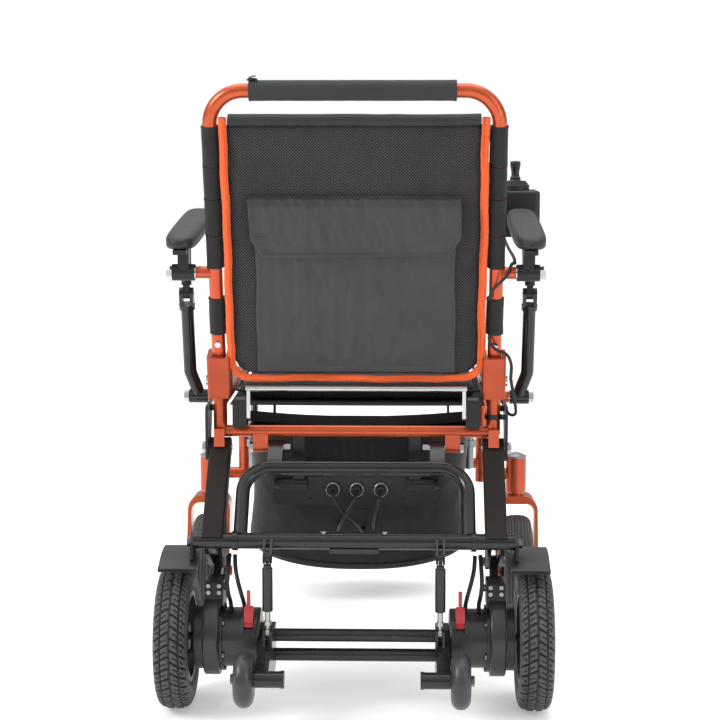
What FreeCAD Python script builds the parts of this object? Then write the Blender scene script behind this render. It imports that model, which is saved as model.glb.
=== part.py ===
import FreeCAD, Part
import math
import os

os.makedirs("parts", exist_ok=True)

# Power wheelchair: X to the rider's right, Y forward, Z up, floor at Z 0.
# Lengths along Y are worked out from the rear axle and moved by axleY when a piece is saved.
axleY = -300.0

# drive wheels
wheelR = 107.5
wheelX = 267.0
wheelW = 50.0
rimR = 68.0
# casters
casterR = 100.0
casterX = 268.0
casterY = 480.0
casterTrail = 40.0
casterW = 50.0
barrelLow = 237.0
barrelHigh = 296.0
# seat and side frames
sideX = 208.0
tubeR = 10.5
railR = 11.0
railZ = 452.0
uprightY = 85.0
crossZ = 406.0
frontY = 486.0
# back hinge and recline
hingeY = 84.0
hingeZ = 484.0
recline = 16.0
handleS = 450.4
# arm linkage: the post pivot, and the arm pivot measured up the back tube
postY = 200.0
postZ = 443.0
armS = 174.8
armX = 266.0
# rear frame pivot, cross tube and tie frame
legY = 85.0
legZ = 381.0
crossY = -40.0
crossTubeZ = 263.0
crossR = 12.0
braceY = 40.0
braceZ = 357.0
# suspension pivot and dampers
suspY = 50.0
suspZ = 212.0
damperX = 126.0
damperY = -65.0
damperTop = 243.0
damperLow = 131.0
# motors and gearboxes
motorZ = 107.0
motorR = 44.0
gearZ = 113.0
gearR = 62.0
# anti-tip wheels
tipX = 154.5
tipY = -140.0
tipZ = 84.0
tipR = 41.0
# footplate
plateY = 640.0
plateZ = 88.0
plateDepth = 141.0
# running clearance on pins
fit = 0.06

vec = FreeCAD.Vector
xAxis = vec(1, 0, 0)
yAxis = vec(0, 1, 0)
zAxis = vec(0, 0, 1)

sinR = math.sin(math.radians(recline))
cosR = math.cos(math.radians(recline))
armY = hingeY - armS * sinR
armZ = hingeZ + armS * cosR
topY = postY + armY - hingeY
topZ = postZ + armZ - hingeZ


def save(name, *shapes):
    solids = []
    for shape in shapes:
        solids += shape.Solids
    whole = solids[0] if len(solids) == 1 else Part.makeCompound(solids)
    whole = whole.copy()
    whole.translate(vec(0, axleY, 0))
    whole.exportStep("parts/" + name + ".step")
    print(name, len(solids), round(sum(s.Volume for s in solids)), all(s.isValid() for s in solids))


def mirrored(shape):
    return shape.mirror(vec(0, 0, 0), xAxis)


def box(x0, x1, y0, y1, z0, z1):
    return Part.makeBox(x1 - x0, y1 - y0, z1 - z0, vec(x0, y0, z0))


def rounded(x0, x1, y0, y1, z0, z1, radius):
    solid = box(x0, x1, y0, y1, z0, z1)
    return solid.makeFillet(radius, solid.Edges)


def rod(x0, x1, y, z, radius):
    return Part.makeCylinder(radius, x1 - x0, vec(x0, y, z), xAxis)


def ring(x0, x1, y, z, outer, inner):
    return rod(x0, x1, y, z, outer).cut(rod(x0 - 1, x1 + 1, y, z, inner))


def bar(start, end, radius):
    a = vec(*start)
    b = vec(*end)
    return Part.makeCylinder(radius, (b - a).Length, a, b - a)


def plate(points, x0, x1):
    # a flat plate drawn in the Y, Z plane
    outline = [vec(x0, y, z) for y, z in points]
    face = Part.Face(Part.makePolygon(outline + outline[:1]))
    return face.extrude(vec(x1 - x0, 0, 0))


def hexHead(x0, x1, y, z, across):
    side = across / math.sqrt(3)
    points = []
    for k in range(6):
        turn = math.radians(60 * k + 15)
        points.append((y + side * math.cos(turn), z + side * math.sin(turn)))
    return plate(points, x0, x1)


def route(points, bend=None):
    # straight runs joined by tangent arcs
    pts = [vec(*p) for p in points]
    edges = []
    here = pts[0]
    for i in range(1, len(pts) - 1):
        back = pts[i - 1] - pts[i]
        ahead = pts[i + 1] - pts[i]
        inward = vec(back).normalize()
        outward = vec(ahead).normalize()
        turn = math.pi - inward.getAngle(outward)
        if bend is None:
            radius = 0.45 * min(back.Length, ahead.Length) / math.tan(turn / 2)
        else:
            radius = bend
        reach = radius * math.tan(turn / 2)
        first = pts[i] + inward * reach
        last = pts[i] + outward * reach
        middle = (inward + outward).normalize()
        top = pts[i] + middle * (radius / math.cos(turn / 2) - radius)
        if (first - here).Length > 1e-6:
            edges.append(Part.LineSegment(here, first).toShape())
        edges.append(Part.Arc(first, top, last).toShape())
        here = last
    if (pts[-1] - here).Length > 1e-6:
        edges.append(Part.LineSegment(here, pts[-1]).toShape())
    return Part.Wire(edges)


def pipe(points, radius, bend=None):
    wire = route(points, bend)
    start = vec(*points[0])
    direction = vec(*points[1]) - start
    section = Part.Wire([Part.makeCircle(radius, start, direction)])
    solid = wire.makePipeShell([section], True, False)
    share = solid.Volume / (math.pi * radius * radius * wire.Length)
    if abs(share - 1) > 0.01:
        print("  pipe volume share", round(share, 3))
    return solid


def lean(shape):
    # tips a piece drawn upright on the back hinge back to the recline
    tipped = shape.copy()
    tipped.rotate(vec(0, hingeY, hingeZ), xAxis, recline)
    return tipped


def both(shape):
    return [shape, mirrored(shape)]


def backPoint(x, s, n):
    # a point s up the back tubes and n in front of their plane
    return (x, hingeY - s * sinR + n * cosR, hingeZ + s * cosR + n * sinR)


# ---------------------------------------------------------------- hinge blocks
def hingeEnvelope(grow=0.0):
    solid = box(190.5 - grow, 225.5 + grow, hingeY - 20 - grow, hingeY + 20 + grow, hingeZ - 22 - grow, hingeZ + 44)
    return lean(solid)


block = box(190.5, 225.5, hingeY - 20, hingeY + 20, hingeZ - 22, hingeZ + 44)
topEdges = [e for e in block.Edges if abs(e.CenterOfMass.z - hingeZ) < 30 and e.Length > 60]
block = block.makeFillet(4, topEdges)
block = block.cut(box(196.9, 219.1, hingeY - 12, hingeY + 21, hingeZ - 12, hingeZ + 45))
block = block.cut(rod(189, 227, hingeY, hingeZ, 5.0 + fit))
block = lean(block)
save("back_hinge_blocks", *both(block))

# ---------------------------------------------------------------- main frame
railStart = Part.Face(Part.Wire([Part.makeCircle(railR, vec(sideX, frontY - 70, railZ), yAxis)]))
rail = railStart.revolve(vec(sideX, frontY - 70, railZ - 70), xAxis, -90)
rail = rail.fuse(bar((sideX, uprightY, railZ), (sideX, frontY - 70, railZ), railR))
rail = rail.fuse(bar((sideX, frontY, railZ - 70), (sideX, frontY, 252), railR))
upright = bar((sideX, uprightY, 402), (sideX, uprightY, 476), tubeR)
tail = box(sideX - 8, sideX + 8, 61.5, 66, 385, 412).fuse(box(sideX - 8, sideX + 8, 61.5, 82, 402, 412))
outrigger = rod(sideX, casterX, casterY + 2, 266, 10)
barrel = Part.makeCylinder(18, barrelHigh - barrelLow, vec(casterX, casterY, barrelLow))
lug = box(135, 158, legY - 8, legY + 8, legZ, crossZ).fuse(rod(135, 158, legY, legZ, 8))
stub = rod(sideX, 237.6, postY, postZ, 9)
hanger = pipe([(95, frontY, 284), (95, 560, 205), (95, 634, 106)], 9, 60)
knuckle = rod(84, 106, plateY, plateZ, 9)
neck = bar((95, 624, 117), (95, plateY, plateZ), 7.2)
half = rail
for piece in [upright, tail, outrigger, barrel, lug, stub, hanger, neck, knuckle]:
    half = half.fuse(piece)
frame = half.fuse(mirrored(half))
for y, z, radius in [(uprightY, crossZ, 9), (frontY, 284, 9), (400, 430, 8)]:
    reach = sideX if z < 425 else sideX + 2
    frame = frame.fuse(rod(-reach, reach, y, z, radius))
for x in (-sideX, sideX):
    frame = frame.fuse(box(x - 5, x + 5, 394, 406, 428, 446))
seats = [hingeEnvelope(), mirrored(hingeEnvelope())]
for seat in seats:
    frame = frame.cut(seat)
for x in (-casterX, casterX):
    frame = frame.cut(Part.makeCylinder(8 + fit, 80, vec(x, casterY, barrelLow - 5)))
for side in (-1, 1):
    holes = [rod(134, 159, legY, legZ, 5), rod(217, 240, postY, postZ, 5), rod(80, 110, plateY, plateZ, 4 + fit)]
    for hole in holes:
        frame = frame.cut(hole if side > 0 else mirrored(hole))
frame = frame.removeSplitter()
save("main_frame", frame)

# black brackets at the rear corners: pivot cheeks, latch housings and the lead clip
cheek = plate([(66, 366), (76, 362), (104, 362), (132, 428), (132, 446), (70, 446), (66, 436)], 225.6, 229.6)
cheek = cheek.fuse(rod(219.5, 229.6, 112, 438, 5).cut(rod(190, 219.4, 112, railZ, railR + 0.2)))
cheek = cheek.cut(rod(224, 231, legY, legZ, 5))
cheek = cheek.cut(pipe([(sideX, 60, railZ), (sideX, 200, railZ)], railR + 0.01))
latch = box(166, 187, 56, 92, 415.2, 458)
latch = latch.makeFillet(4, [e for e in latch.Edges if abs(e.CenterOfMass.z - 458) < 1])
latch = latch.cut(rod(160, 178, 62, 432, 3 + fit))
clip = Part.makeCylinder(13.2, 7, vec(sideX, uprightY, 426)).cut(Part.makeCylinder(tubeR + 0.01, 9, vec(sideX, uprightY, 425)))
clip = clip.fuse(box(sideX + 11.5, sideX + 20, uprightY - 10, uprightY - 3, 426, 433))
clip = clip.cut(Part.makeCylinder(tubeR + 0.01, 9, vec(sideX, uprightY, 425)))
save("rear_brackets", *both(cheek), *both(latch), clip)

# chrome fasteners on the main frame
legBolt = rod(225.7, 234, legY, legZ, 4.99).cut(rod(220, 226, legY, legZ, 9))
pivotBolt = rod(190, 229.7, legY, legZ, 4.99).fuse(hexHead(229.7, 236, legY, legZ, 15))
postBolt = rod(220, 270, postY, postZ, 4.99).fuse(hexHead(269.6, 277, postY, postZ, 15))
postWasher = ring(237.7, 238.7, postY, postZ, 9, 4.995)
lugBolt = rod(101.5, 158.2, legY, legZ, 4.99).fuse(hexHead(158.2, 163.5, legY, legZ, 14))
lugNut = hexHead(101, 109.5, legY, legZ, 14)
lugBolt = lugBolt.fuse(lugNut)
backPin = lean(rod(190.4, 225.6, hingeY, hingeZ, 4.99).fuse(rod(225.6, 229, hingeY, hingeZ, 8)))
cap = Part.makeCylinder(18, 3, vec(casterX, casterY, barrelHigh))
dome = Part.makeSphere(24, vec(casterX, casterY, barrelHigh - 15)).common(
    Part.makeCylinder(18, 30, vec(casterX, casterY, barrelHigh + 2.9)))
save("frame_bolts", *both(pivotBolt), *both(postBolt), *both(postWasher), *both(lugBolt), *both(backPin))

# grey seat struts with black collars between the front cross tube and the seat
strut = bar((181, 352, 300), (181, 352, 436), 8)
strut = strut.fuse(Part.makeCylinder(11, 12, vec(181, 352, 336)))
foot = bar((181, 352, 304), (181, frontY - 6, 292), 6)
foot = foot.cut(rod(100, 230, frontY, 284, 9.0))
foot = foot.cut(bar((sideX, frontY, 250), (sideX, frontY, 400), railR))
strut = strut.fuse(foot)
strut = strut.fuse(bar((181, 352, 430), (205, 352, 437.5), 4))
strut = strut.cut(bar((sideX, 100, railZ), (sideX, 420, railZ), railR))
save("seat_struts", *both(strut), *both(cap.fuse(dome)))

# ---------------------------------------------------------------- seat
sling = rounded(-196.6, 196.6, 112, 442, 441, 444, 1.2)
sling = sling.cut(bar((sideX, 90, railZ), (sideX, 450, railZ), railR + 0.3))
sling = sling.cut(bar((-sideX, 90, railZ), (-sideX, 450, railZ), railR + 0.3))
save("seat_sling", sling)
cushion = box(-192, 192, 135, 460, 444.3, 478)
cushion = cushion.makeFillet(12, [e for e in cushion.Edges if abs(e.CenterOfMass.z - 478) < 1])
cushion = cushion.makeFillet(11, [e for e in cushion.Edges if e.Length > 15 and e.Length < 24])
save("seat_cushion", cushion)

# storage bag under the seat: a hanging pouch with a sagging floor, and its rear band
def sagOutline(halfWidth, top, edge, middle, steps=14):
    points = [(-halfWidth, top)]
    for k in range(steps + 1):
        u = -1 + 2 * k / steps
        points.append((halfWidth * u, middle + (edge - middle) * abs(u) ** 2.4))
    points.append((halfWidth, top))
    return points


bagPoints = [vec(x, 156, z) for x, z in sagOutline(178, 392, 200, 168)]
bag = Part.Face(Part.makePolygon(bagPoints + bagPoints[:1])).extrude(vec(0, 174, 0))
bandTop = [(x, 424 + 11 * (abs(x) / 190) ** 2) for x in range(-190, 191, 20)]
bandLow = [(x, 409 + 9 * (abs(x) / 190) ** 2) for x in range(190, -191, -20)]
bandPoints = [vec(x, 116, z) for x, z in bandTop + bandLow]
band = Part.Face(Part.makePolygon(bandPoints + bandPoints[:1])).extrude(vec(0, 5, 0))
save("storage_bag", bag, band)

# battery in its hangers, just in front of the bag
battery = rounded(-148, 148, 338, 338 + 60, 302, 376, 6).cut(box(-200, 200, 300, 500, 200, 250))
strap = box(144, 148, 360, 376, 370, 440.9)
batteryStrap = strap.cut(rod(100, 200, 400, 430, 8.3))
save("battery_pack", battery.cut(strap).cut(mirrored(strap)), *both(batteryStrap))

# controller housing hung from the rear cross tube
housing = box(-128, 128, 100, 150, 288, 335)
housing = housing.makeFillet(12, [e for e in housing.Edges if abs(e.CenterOfMass.z - 288) < 1 and e.Length < 60])
housing = housing.makeFillet(4, [e for e in housing.Edges if abs(e.CenterOfMass.z - 335) < 1])
arm = box(80, 98, 90, 99, 322, 399).cut(rod(70, 130, uprightY, crossZ, 9.02))
pivot = rod(76, 119, 91, 322, 8.5)
saddle = box(80, 98, 98, 104, 318, 330)
arm = arm.fuse(pivot).fuse(box(78, 100, 90, 100, 314, 330))
boltHead = hexHead(119, 126, 91, 322, 12)
screw = Part.makeCylinder(3, 3, vec(72, 97, 296), yAxis)
housing = housing.cut(arm).cut(mirrored(arm))
for x in (-37, 0, 37):
    housing = housing.cut(Part.makeCylinder(8.0, 12, vec(x, 99, 313), yAxis))
save("controller_box", housing, *both(arm), *both(boltHead), *both(screw))

# connectors and the leads held by the frame
leads = []
starts = [(-37, 12), (0, -26), (37, 6)]
for x, low in starts:
    plug = Part.makeCylinder(7.9, 14, vec(x, 96, 313), yAxis).cut(Part.makeCylinder(9, 30, vec(x, 111, 313), yAxis))
    plug = plug.fuse(Part.makeCylinder(9.5, 6, vec(x, 90, 313), yAxis))
    plug = plug.fuse(Part.makeCylinder(6.5, 8, vec(x, 83, 313), yAxis))
    leads.append(plug)
routes = [
    [(-37, 83, 313), (-36, 66, 310), (-24, 62, 288), (-2, 74, 268), (8, 96, 247), (9, 128, 240), (9, 155.9, 240)],
    [(0, 83, 313), (-1, 66, 309), (-12, 55, 288), (-24, 62, 266), (-30, 90, 250), (-30, 124, 246), (-30, 155.9, 246)],
    [(37, 83, 313), (36, 66, 309), (30, 60, 290), (26, 74, 268), (26, 100, 250), (26, 130, 244), (26, 155.9, 244)]]
for points in routes:
    leads.append(pipe(points, 2.7))
frameLead = pipe([(233, 55, 488), (236, 53, 470), (240, 58, 450), (242, 72, 436), (238, 92, 430),
                  (234, 118, 428), (232, 146, 429), (229, 176, 434), (224, 189.5, 441)], 2.4)
save("frame_leads", *leads, frameLead)

# ---------------------------------------------------------------- rear frame
slope = math.atan2(legZ - crossTubeZ, legY - crossY)
along = (math.cos(slope), math.sin(slope))
across = (-math.sin(slope), math.cos(slope))


def legPoint(s, n):
    return (crossY + s * along[0] + n * across[0], crossTubeZ + s * along[1] + n * across[1])


legLength = math.hypot(legZ - crossTubeZ, legY - crossY)
leg = plate([legPoint(-4, -15), legPoint(legLength, -15), legPoint(legLength, 15), legPoint(-4, 15)], 192, 224)
leg = leg.makeFillet(4, [e for e in leg.Edges if e.Length > 100])
leg = leg.fuse(rod(192, 224, legY, legZ, 15))
leg = leg.cut(rod(190, 226, legY, legZ, 5 + fit))
cheekShape = [(-20, 258), (-42, 250), (-30, 240), (38, 206), (43, 202), (50, 200), (58, 204), (61, 212), (58, 220), (30, 312)]
hangerPlates = plate(cheekShape, 195.5, 201.3).fuse(plate(cheekShape, 214.7, 220.5))
hangerPlates = hangerPlates.cut(rod(190, 226, suspY, suspZ, 4.0))
leg = leg.fuse(hangerPlates)
leg = leg.cut(rod(150, 240, crossY, crossTubeZ, crossR))
save("rear_legs", *both(leg))

crossTube = rod(-236, 236, crossY, crossTubeZ, crossR)
for x in (-175, 175):
    crossTube = crossTube.fuse(rod(x - 4, x + 4, crossY, crossTubeZ, crossR + 2.5))
topMount = plate([(crossY - 4, crossTubeZ), (crossY - 6, 252), (damperY + 5, damperTop - 7), (damperY - 3, damperTop - 8),
                  (damperY - 8, damperTop), (damperY - 6, damperTop + 6), (crossY - 8, crossTubeZ + 8)], 119.3, 122.6)
topMount = topMount.fuse(topMount.copy().translated(vec(10.1, 0, 0)) if hasattr(topMount, "translated") else topMount)
mounts = topMount.cut(rod(100, 150, damperY, damperTop, 2.5)).fuse(rod(119.3, 132.7, damperY, damperTop, 2.99))
crossTube = crossTube.fuse(mounts).fuse(mirrored(mounts))
crossTube = crossTube.fuse(box(-36, 36, crossY - 9, crossY + 9, crossTubeZ - 17, crossTubeZ - 10))
crossTube = crossTube.removeSplitter()
save("rear_crosstube", crossTube)

brace = pipe([(168, crossY + 4, crossTubeZ + 6), (168, braceY, braceZ), (-168, braceY, braceZ), (-168, crossY + 4, crossTubeZ + 6)],
             10.5, 42)
brace = brace.cut(rod(-240, 240, crossY, crossTubeZ, crossR + 0.005))
brace = brace.cut(rod(170.9, 179.1, crossY, crossTubeZ, crossR + 2.6)).cut(rod(-179.1, -170.9, crossY, crossTubeZ, crossR + 2.6))
linkShape = [(braceY - 6, braceZ - 10), (braceY + 6, braceZ - 10), (legY + 5, legZ - 10), (legY - 4, legZ + 11), (braceY - 2, braceZ + 10)]
link = plate(linkShape, 111.5, 134).fuse(rod(111.5, 134, legY, legZ, 11))
link = link.cut(rod(110, 136, legY, legZ, 5 + fit))
brace = brace.fuse(link).fuse(mirrored(link)).removeSplitter()
save("u_tube", brace)

# mudguards over the drive wheels, on brackets from the cross tube ends
guard = ring(229, 286, 0, wheelR, 136, 132.4)
guard = guard.common(plate([(0, wheelR), (-90, wheelR + 152), (0, wheelR + 190), (58, wheelR + 152)], 220, 300))
lip = ring(229, 286, 0, wheelR, 139, 132.4).common(
    plate([(0, wheelR), (-88, wheelR + 150), (-82, wheelR + 154)], 220, 300))
guard = guard.fuse(lip)
guardArm = plate([(-52, 262), (-38, 274.8), (-20, 262), (-12, 236), (-40, 232), (-56, 238)], 236.1, 240.5)
guardArm = guardArm.cut(rod(230, 300, 0, wheelR, 132.6))
guard = guard.fuse(guardArm).removeSplitter()
save("mudguards", *both(guard))

guardBolt = hexHead(240.6, 246, -38, 261, 13)
suspBolt = rod(195.4, 220.6, suspY, suspZ, 3.99).fuse(hexHead(220.6, 226, suspY, suspZ, 12))
suspBolt = suspBolt.fuse(hexHead(190.5, 195.4, suspY, suspZ, 12))
tubeScrew = Part.makeCylinder(4, 4, vec(45, crossY, crossTubeZ + 11.2)).cut(rod(0, 100, crossY, crossTubeZ, crossR + 0.005))
save("rear_frame_bolts", *both(guardBolt), *both(suspBolt), *both(tubeScrew))

# ---------------------------------------------------------------- axle unit
gear = rod(200.2, 224, 0, gearZ, gearR)
gear = gear.makeFillet(3, [e for e in gear.Edges if e.Length > 300])
gear = gear.fuse(rod(224, 237, 0, wheelR + 2, 50)).fuse(rod(196, 200.2, 0, motorZ, 50))
gear = gear.fuse(rod(237, 291, 0, wheelR, 6)).removeSplitter()
save("gearboxes", *both(gear))

motor = rod(140.4, 196, 0, motorZ, motorR)
motor = motor.makeFillet(4, [e for e in motor.Edges if e.Length > 200 and e.CenterOfMass.x < 150])
pedestal = box(145, 167, -48, -30, 126, 145).cut(rod(140, 200, 0, motorZ, motorR)).cut(box(148.8, 163.2, -60, -29, 120, 150))
motor = motor.fuse(pedestal)
motor = motor.cut(rod(144, 168, -40, 138, 1.6)).fuse(rod(145, 167, -40, 138, 1.6))
save("motors", *both(motor))

legShape = [(22, 124), (26, 112), (26, 66), (18, 58), (-50, 58), (-136, 72.5), (-148, 76), (-152, 84), (-148, 92),
            (-136, 96), (-60, 116), (-20, 124)]
tipLeg = plate(legShape, 120, 140)
tipLeg = tipLeg.fuse(rod(97, 140, tipY, tipZ, 12))
tipLeg = tipLeg.fuse(ring(97, 102, tipY, tipZ, 12.8, 4))
tipLeg = tipLeg.cut(box(123.4, 128.6, damperY - 10, damperY + 10, 116, 150))
ears = plate([(damperY - 8, 108), (damperY + 8, 108), (damperY + 6, damperLow + 4), (damperY, damperLow + 7),
              (damperY - 6, damperLow + 4)], 119.2, 122.6)
ears = ears.fuse(plate([(damperY - 8, 108), (damperY + 8, 108), (damperY + 6, damperLow + 4), (damperY, damperLow + 7),
                        (damperY - 6, damperLow + 4)], 129.4, 132.8))
ears = ears.fuse(rod(119.2, 132.8, damperY, damperLow, 3.0))
tipLeg = tipLeg.cut(box(123.0, 129.0, damperY - 12, damperY + 12, 118.5, 150))
tipLeg = tipLeg.fuse(ears)
tipLeg = tipLeg.cut(box(122.6, 129.4, damperY - 9.5, damperY + 9.5, 120.5, 128.0))
tie = rod(-121, 121, 0, 110, 9.7).fuse(rod(-121, 121, 0, 80, 9.7))
tipFrame = tipLeg.fuse(mirrored(tipLeg)).fuse(tie).removeSplitter()
save("antitip_frame", tipFrame)

clamp = box(195, 223, -24, 24, 160, 197)
clamp = clamp.makeFillet(3, [e for e in clamp.Edges if abs(e.CenterOfMass.z - 197) < 1])
clamp = clamp.fuse(plate([(10, 176), (24, 170), (56, 203), (50, 221), (44, 219), (10, 197)], 202, 214))
clamp = clamp.fuse(rod(202, 214, suspY, suspZ, 10))
clamp = clamp.cut(rod(201, 215, suspY, suspZ, 4 + fit))
clamp = clamp.cut(rod(200, 224.2, 0, gearZ, gearR)).cut(rod(190, 200.3, 0, motorZ, 50.2)).cut(rod(224, 240, 0, wheelR + 2, 50.1))
clamp = clamp.Solids[0] if len(clamp.Solids) == 1 else max(clamp.Solids, key=lambda s: s.Volume)
save("gearbox_clamps", *both(clamp))

leadA = pipe([(178, -14, 236), (177, -22, 218), (172, -36, 200), (166, -36, 178), (164, -22, 163), (164, -16, 147)], 3.2)
leadB = pipe([(186, -12, 236), (187, -26, 220), (188, -40, 200), (186, -36, 180), (184, -22, 166), (184, -14, 148)], 3.2)
body = rod(140, 196, 0, motorZ, motorR)
save("motor_leads", *both(leadA.cut(body)), *both(leadB.cut(body)))

tipBolt = rod(140.0, 170, tipY, tipZ, 4).fuse(hexHead(169, 174, tipY, tipZ, 13))
clampBolts = []
for x in (201, 217):
    for z in (181, 191):
        clampBolts.append(Part.makeCylinder(3.2, 4, vec(x, -28, z), yAxis))
sideBolt = hexHead(190, 195, -12, 187, 9)
hubNut = hexHead(285.5, 293, 0, wheelR, 20)
hubNut = hubNut.cut(rod(280, 291.2, 0, wheelR, 6.0))
axleBolts = clampBolts + [sideBolt, tipBolt, hubNut]
whole = []
for piece in axleBolts:
    whole += both(piece)
save("axle_bolts", *whole)

# ---------------------------------------------------------------- dampers
for side, name in ((-1, "left"), (1, "right")):
    x = side * damperX
    eye = rod(x - 2.9, x + 2.9, damperY, damperTop, 6.8).fuse(bar((x, damperY, 238), (x, damperY, 229), 2.8))
    tube = Part.makeCylinder(7.8, 65, vec(x, damperY, 164))
    tube = tube.makeFillet(1.5, tube.Edges)
    collar = Part.makeCylinder(6, 5, vec(x, damperY, 228))
    cylinder = tube.fuse(collar).fuse(eye)
    cylinder = cylinder.cut(rod(x - 4, x + 4, damperY, damperTop, 3 + fit))
    cylinder = cylinder.cut(Part.makeCylinder(4 + fit, 59, vec(x, damperY, 163))).removeSplitter()
    save("damper_cylinder_" + name, cylinder)
    piston = Part.makeCylinder(4, 65, vec(x, damperY, 144))
    low = rod(x - 2.6, x + 2.6, damperY, damperLow, 7).fuse(bar((x, damperY, 136), (x, damperY, 146), 2.5))
    nut = Part.makeCylinder(5.5, 6, vec(x, damperY, 143))
    piston = piston.fuse(nut).fuse(low).cut(rod(x - 4, x + 4, damperY, damperLow, 3.3)).removeSplitter()
    save("damper_rod_" + name, piston)

# ---------------------------------------------------------------- drive wheels
def wheelParts(side, centre, width, radius, rim, y, hub, bore, hubHalf):
    x = side * centre
    half = width / 2
    section = [(-half + 4, rim), (-half + 0.6, rim + 9), (-half, radius - 23), (-half + 3.4, radius - 9), (-half + 10, radius - 2.2)]
    section += [(-7, radius - 0.5)]
    section += [(0, radius)] + [(-u, r) for u, r in reversed(section)]
    curve = Part.BSplineCurve()
    curve.interpolate([vec(x + u, y, radius + r) for u, r in section])
    first = vec(x + section[0][0], y, radius + rim)
    last = vec(x + section[-1][0], y, radius + rim)
    profile = Part.Face(Part.Wire([curve.toShape(), Part.LineSegment(last, first).toShape()]))
    tyre = profile.revolve(vec(x, y, radius), xAxis, 360)
    tyre = tyre if tyre.isValid() and tyre.Volume > 0 else tyre.reversed()
    wheelRim = ring(x - width / 2 + 3, x + width / 2 - 3, y, radius, rim - 0.005, rim - 7)
    disc = ring(x - 3, x + 3, y, radius, rim - 6, bore)
    for k in range(5):
        turn = math.radians(72 * k + 18)
        reach = (rim - 7 + hub) / 2
        hole = rod(x - 10, x + 10, y + reach * math.cos(turn), radius + reach * math.sin(turn), (rim - 7 - hub) / 2 - 2.5)
        disc = disc.cut(hole)
    wheelRim = wheelRim.fuse(disc).fuse(ring(x - hubHalf, x + hubHalf, y, radius, hub, bore)).removeSplitter()
    return tyre, wheelRim


for side, name in ((-1, "left"), (1, "right")):
    tyre, wheelRim = wheelParts(side, wheelX, wheelW, wheelR, rimR, 0, 20, 6 + fit, 18)
    save("drive_tyre_" + name, tyre)
    save("drive_rim_" + name, wheelRim)

# ---------------------------------------------------------------- brake levers
lever = rod(149.3, 162.7, -40, 138, 6.2).fuse(plate([(-47, 141), (-46, 158), (-43, 164), (-36, 164), (-33, 158), (-33, 141)], 149.3, 162.7))
lever = lever.fuse(plate([(-43.5, 160), (-42, 186), (-40, 188), (-37.5, 188), (-36.5, 186), (-35.5, 160)], 153.2, 158.8))
lever = lever.cut(rod(140, 170, -40, 138, 1.6 + fit))
lever = lever.cut(rod(100, 200, 0, motorZ, motorR + 0.3))
for side, name in ((-1, "left"), (1, "right")):
    save("brake_lever_" + name, lever if side > 0 else mirrored(lever))

# ---------------------------------------------------------------- anti-tip wheels
tipWheel = Part.makeTorus(tipR - 14, 14, vec(tipX, tipY, tipZ), xAxis)
tipWheel = tipWheel.fuse(ring(tipX - 13.6, tipX + 13.6, tipY, tipZ, 22, 4 + fit)).removeSplitter()
for side, name in ((-1, "left"), (1, "right")):
    save("antitip_wheel_" + name, tipWheel if side > 0 else mirrored(tipWheel))

# ---------------------------------------------------------------- casters
casterAxle = casterY - casterTrail
for side, name in ((-1, "left"), (1, "right")):
    x = side * casterX
    stem = Part.makeCylinder(8, 62, vec(x, casterY, 226)).fuse(Part.makeCylinder(14, 6, vec(x, casterY, 230.4)))
    # the fork is an arched strap, cut to its side outline
    arch = box(x - 37, x + 37, casterAxle - 60, casterY + 60, 70, 231)
    arch = arch.makeFillet(24, [e for e in arch.Edges if e.CenterOfMass.z > 230 and abs(e.CenterOfMass.x - x) > 30])
    hollow = box(x - 30.5, x + 30.5, casterAxle - 70, casterY + 70, 60, 218)
    hollow = hollow.makeFillet(14, [e for e in hollow.Edges if e.CenterOfMass.z > 217 and abs(e.CenterOfMass.x - x) > 25])
    outline = [(casterY - 28, 233), (casterY + 22, 233), (casterY + 20, 213), (casterY + 12, 196), (casterAxle + 20, 112),
               (casterAxle + 14, 88), (casterAxle, 83), (casterAxle - 14, 88), (casterAxle - 18, 104), (casterAxle - 12, 150),
               (casterY - 30, 213)]
    fork = stem.fuse(arch.cut(hollow).common(plate(outline, x - 40, x + 40)))
    bolt = rod(x - 37.1, x + 37.1, casterAxle, casterR, 5)
    fork = fork.cut(rod(x - 50, x + 50, casterAxle, casterR, 5)).fuse(bolt)
    fork = fork.fuse(hexHead(x + 37, x + 41, casterAxle, casterR, 15)).fuse(hexHead(x - 41, x - 37, casterAxle, casterR, 15))
    save("caster_fork_" + name, fork.removeSplitter())
    tyre, wheelRim = wheelParts(side, casterX, casterW, casterR, 62, casterAxle, 18, 5 + fit, 28)
    save("caster_tyre_" + name, tyre)
    save("caster_rim_" + name, wheelRim)

# ---------------------------------------------------------------- backrest
top = hingeZ + handleS
backTube = pipe([(sideX, hingeY, hingeZ + 2), (sideX, hingeY, top), (-sideX, hingeY, top), (-sideX, hingeY, hingeZ + 2)], tubeR, 50)
knob = rod(sideX - 10.4, sideX + 10.4, hingeY, hingeZ, 10.4)
stubArm = rod(sideX + 6, 236.6, hingeY, hingeZ + armS, 9)
for shape in (knob, stubArm):
    backTube = backTube.fuse(shape).fuse(mirrored(shape))
for hole in (rod(190, 225, hingeY, hingeZ, 5 + fit), rod(218, 240, hingeY, hingeZ + armS, 5)):
    backTube = backTube.cut(hole).cut(mirrored(hole))
backTube = lean(backTube.removeSplitter())
save("back_frame", backTube)

grip = ring(-150, 146, hingeY, top, 15, tubeR + 0.01)
grip = grip.makeFillet(2, [e for e in grip.Edges if e.Length > 80])
save("handle_grip", lean(grip))

sleeves = []
for low, high in ((79, 136), (184.2, 399)):
    sleeve = Part.makeCylinder(12.6, high - low, vec(sideX, hingeY, hingeZ + low))
    sleeve = sleeve.cut(Part.makeCylinder(tubeR + 0.01, high - low + 2, vec(sideX, hingeY, hingeZ + low - 1)))
    sleeves += both(lean(sleeve))
save("back_sleeves", *sleeves)

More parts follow.
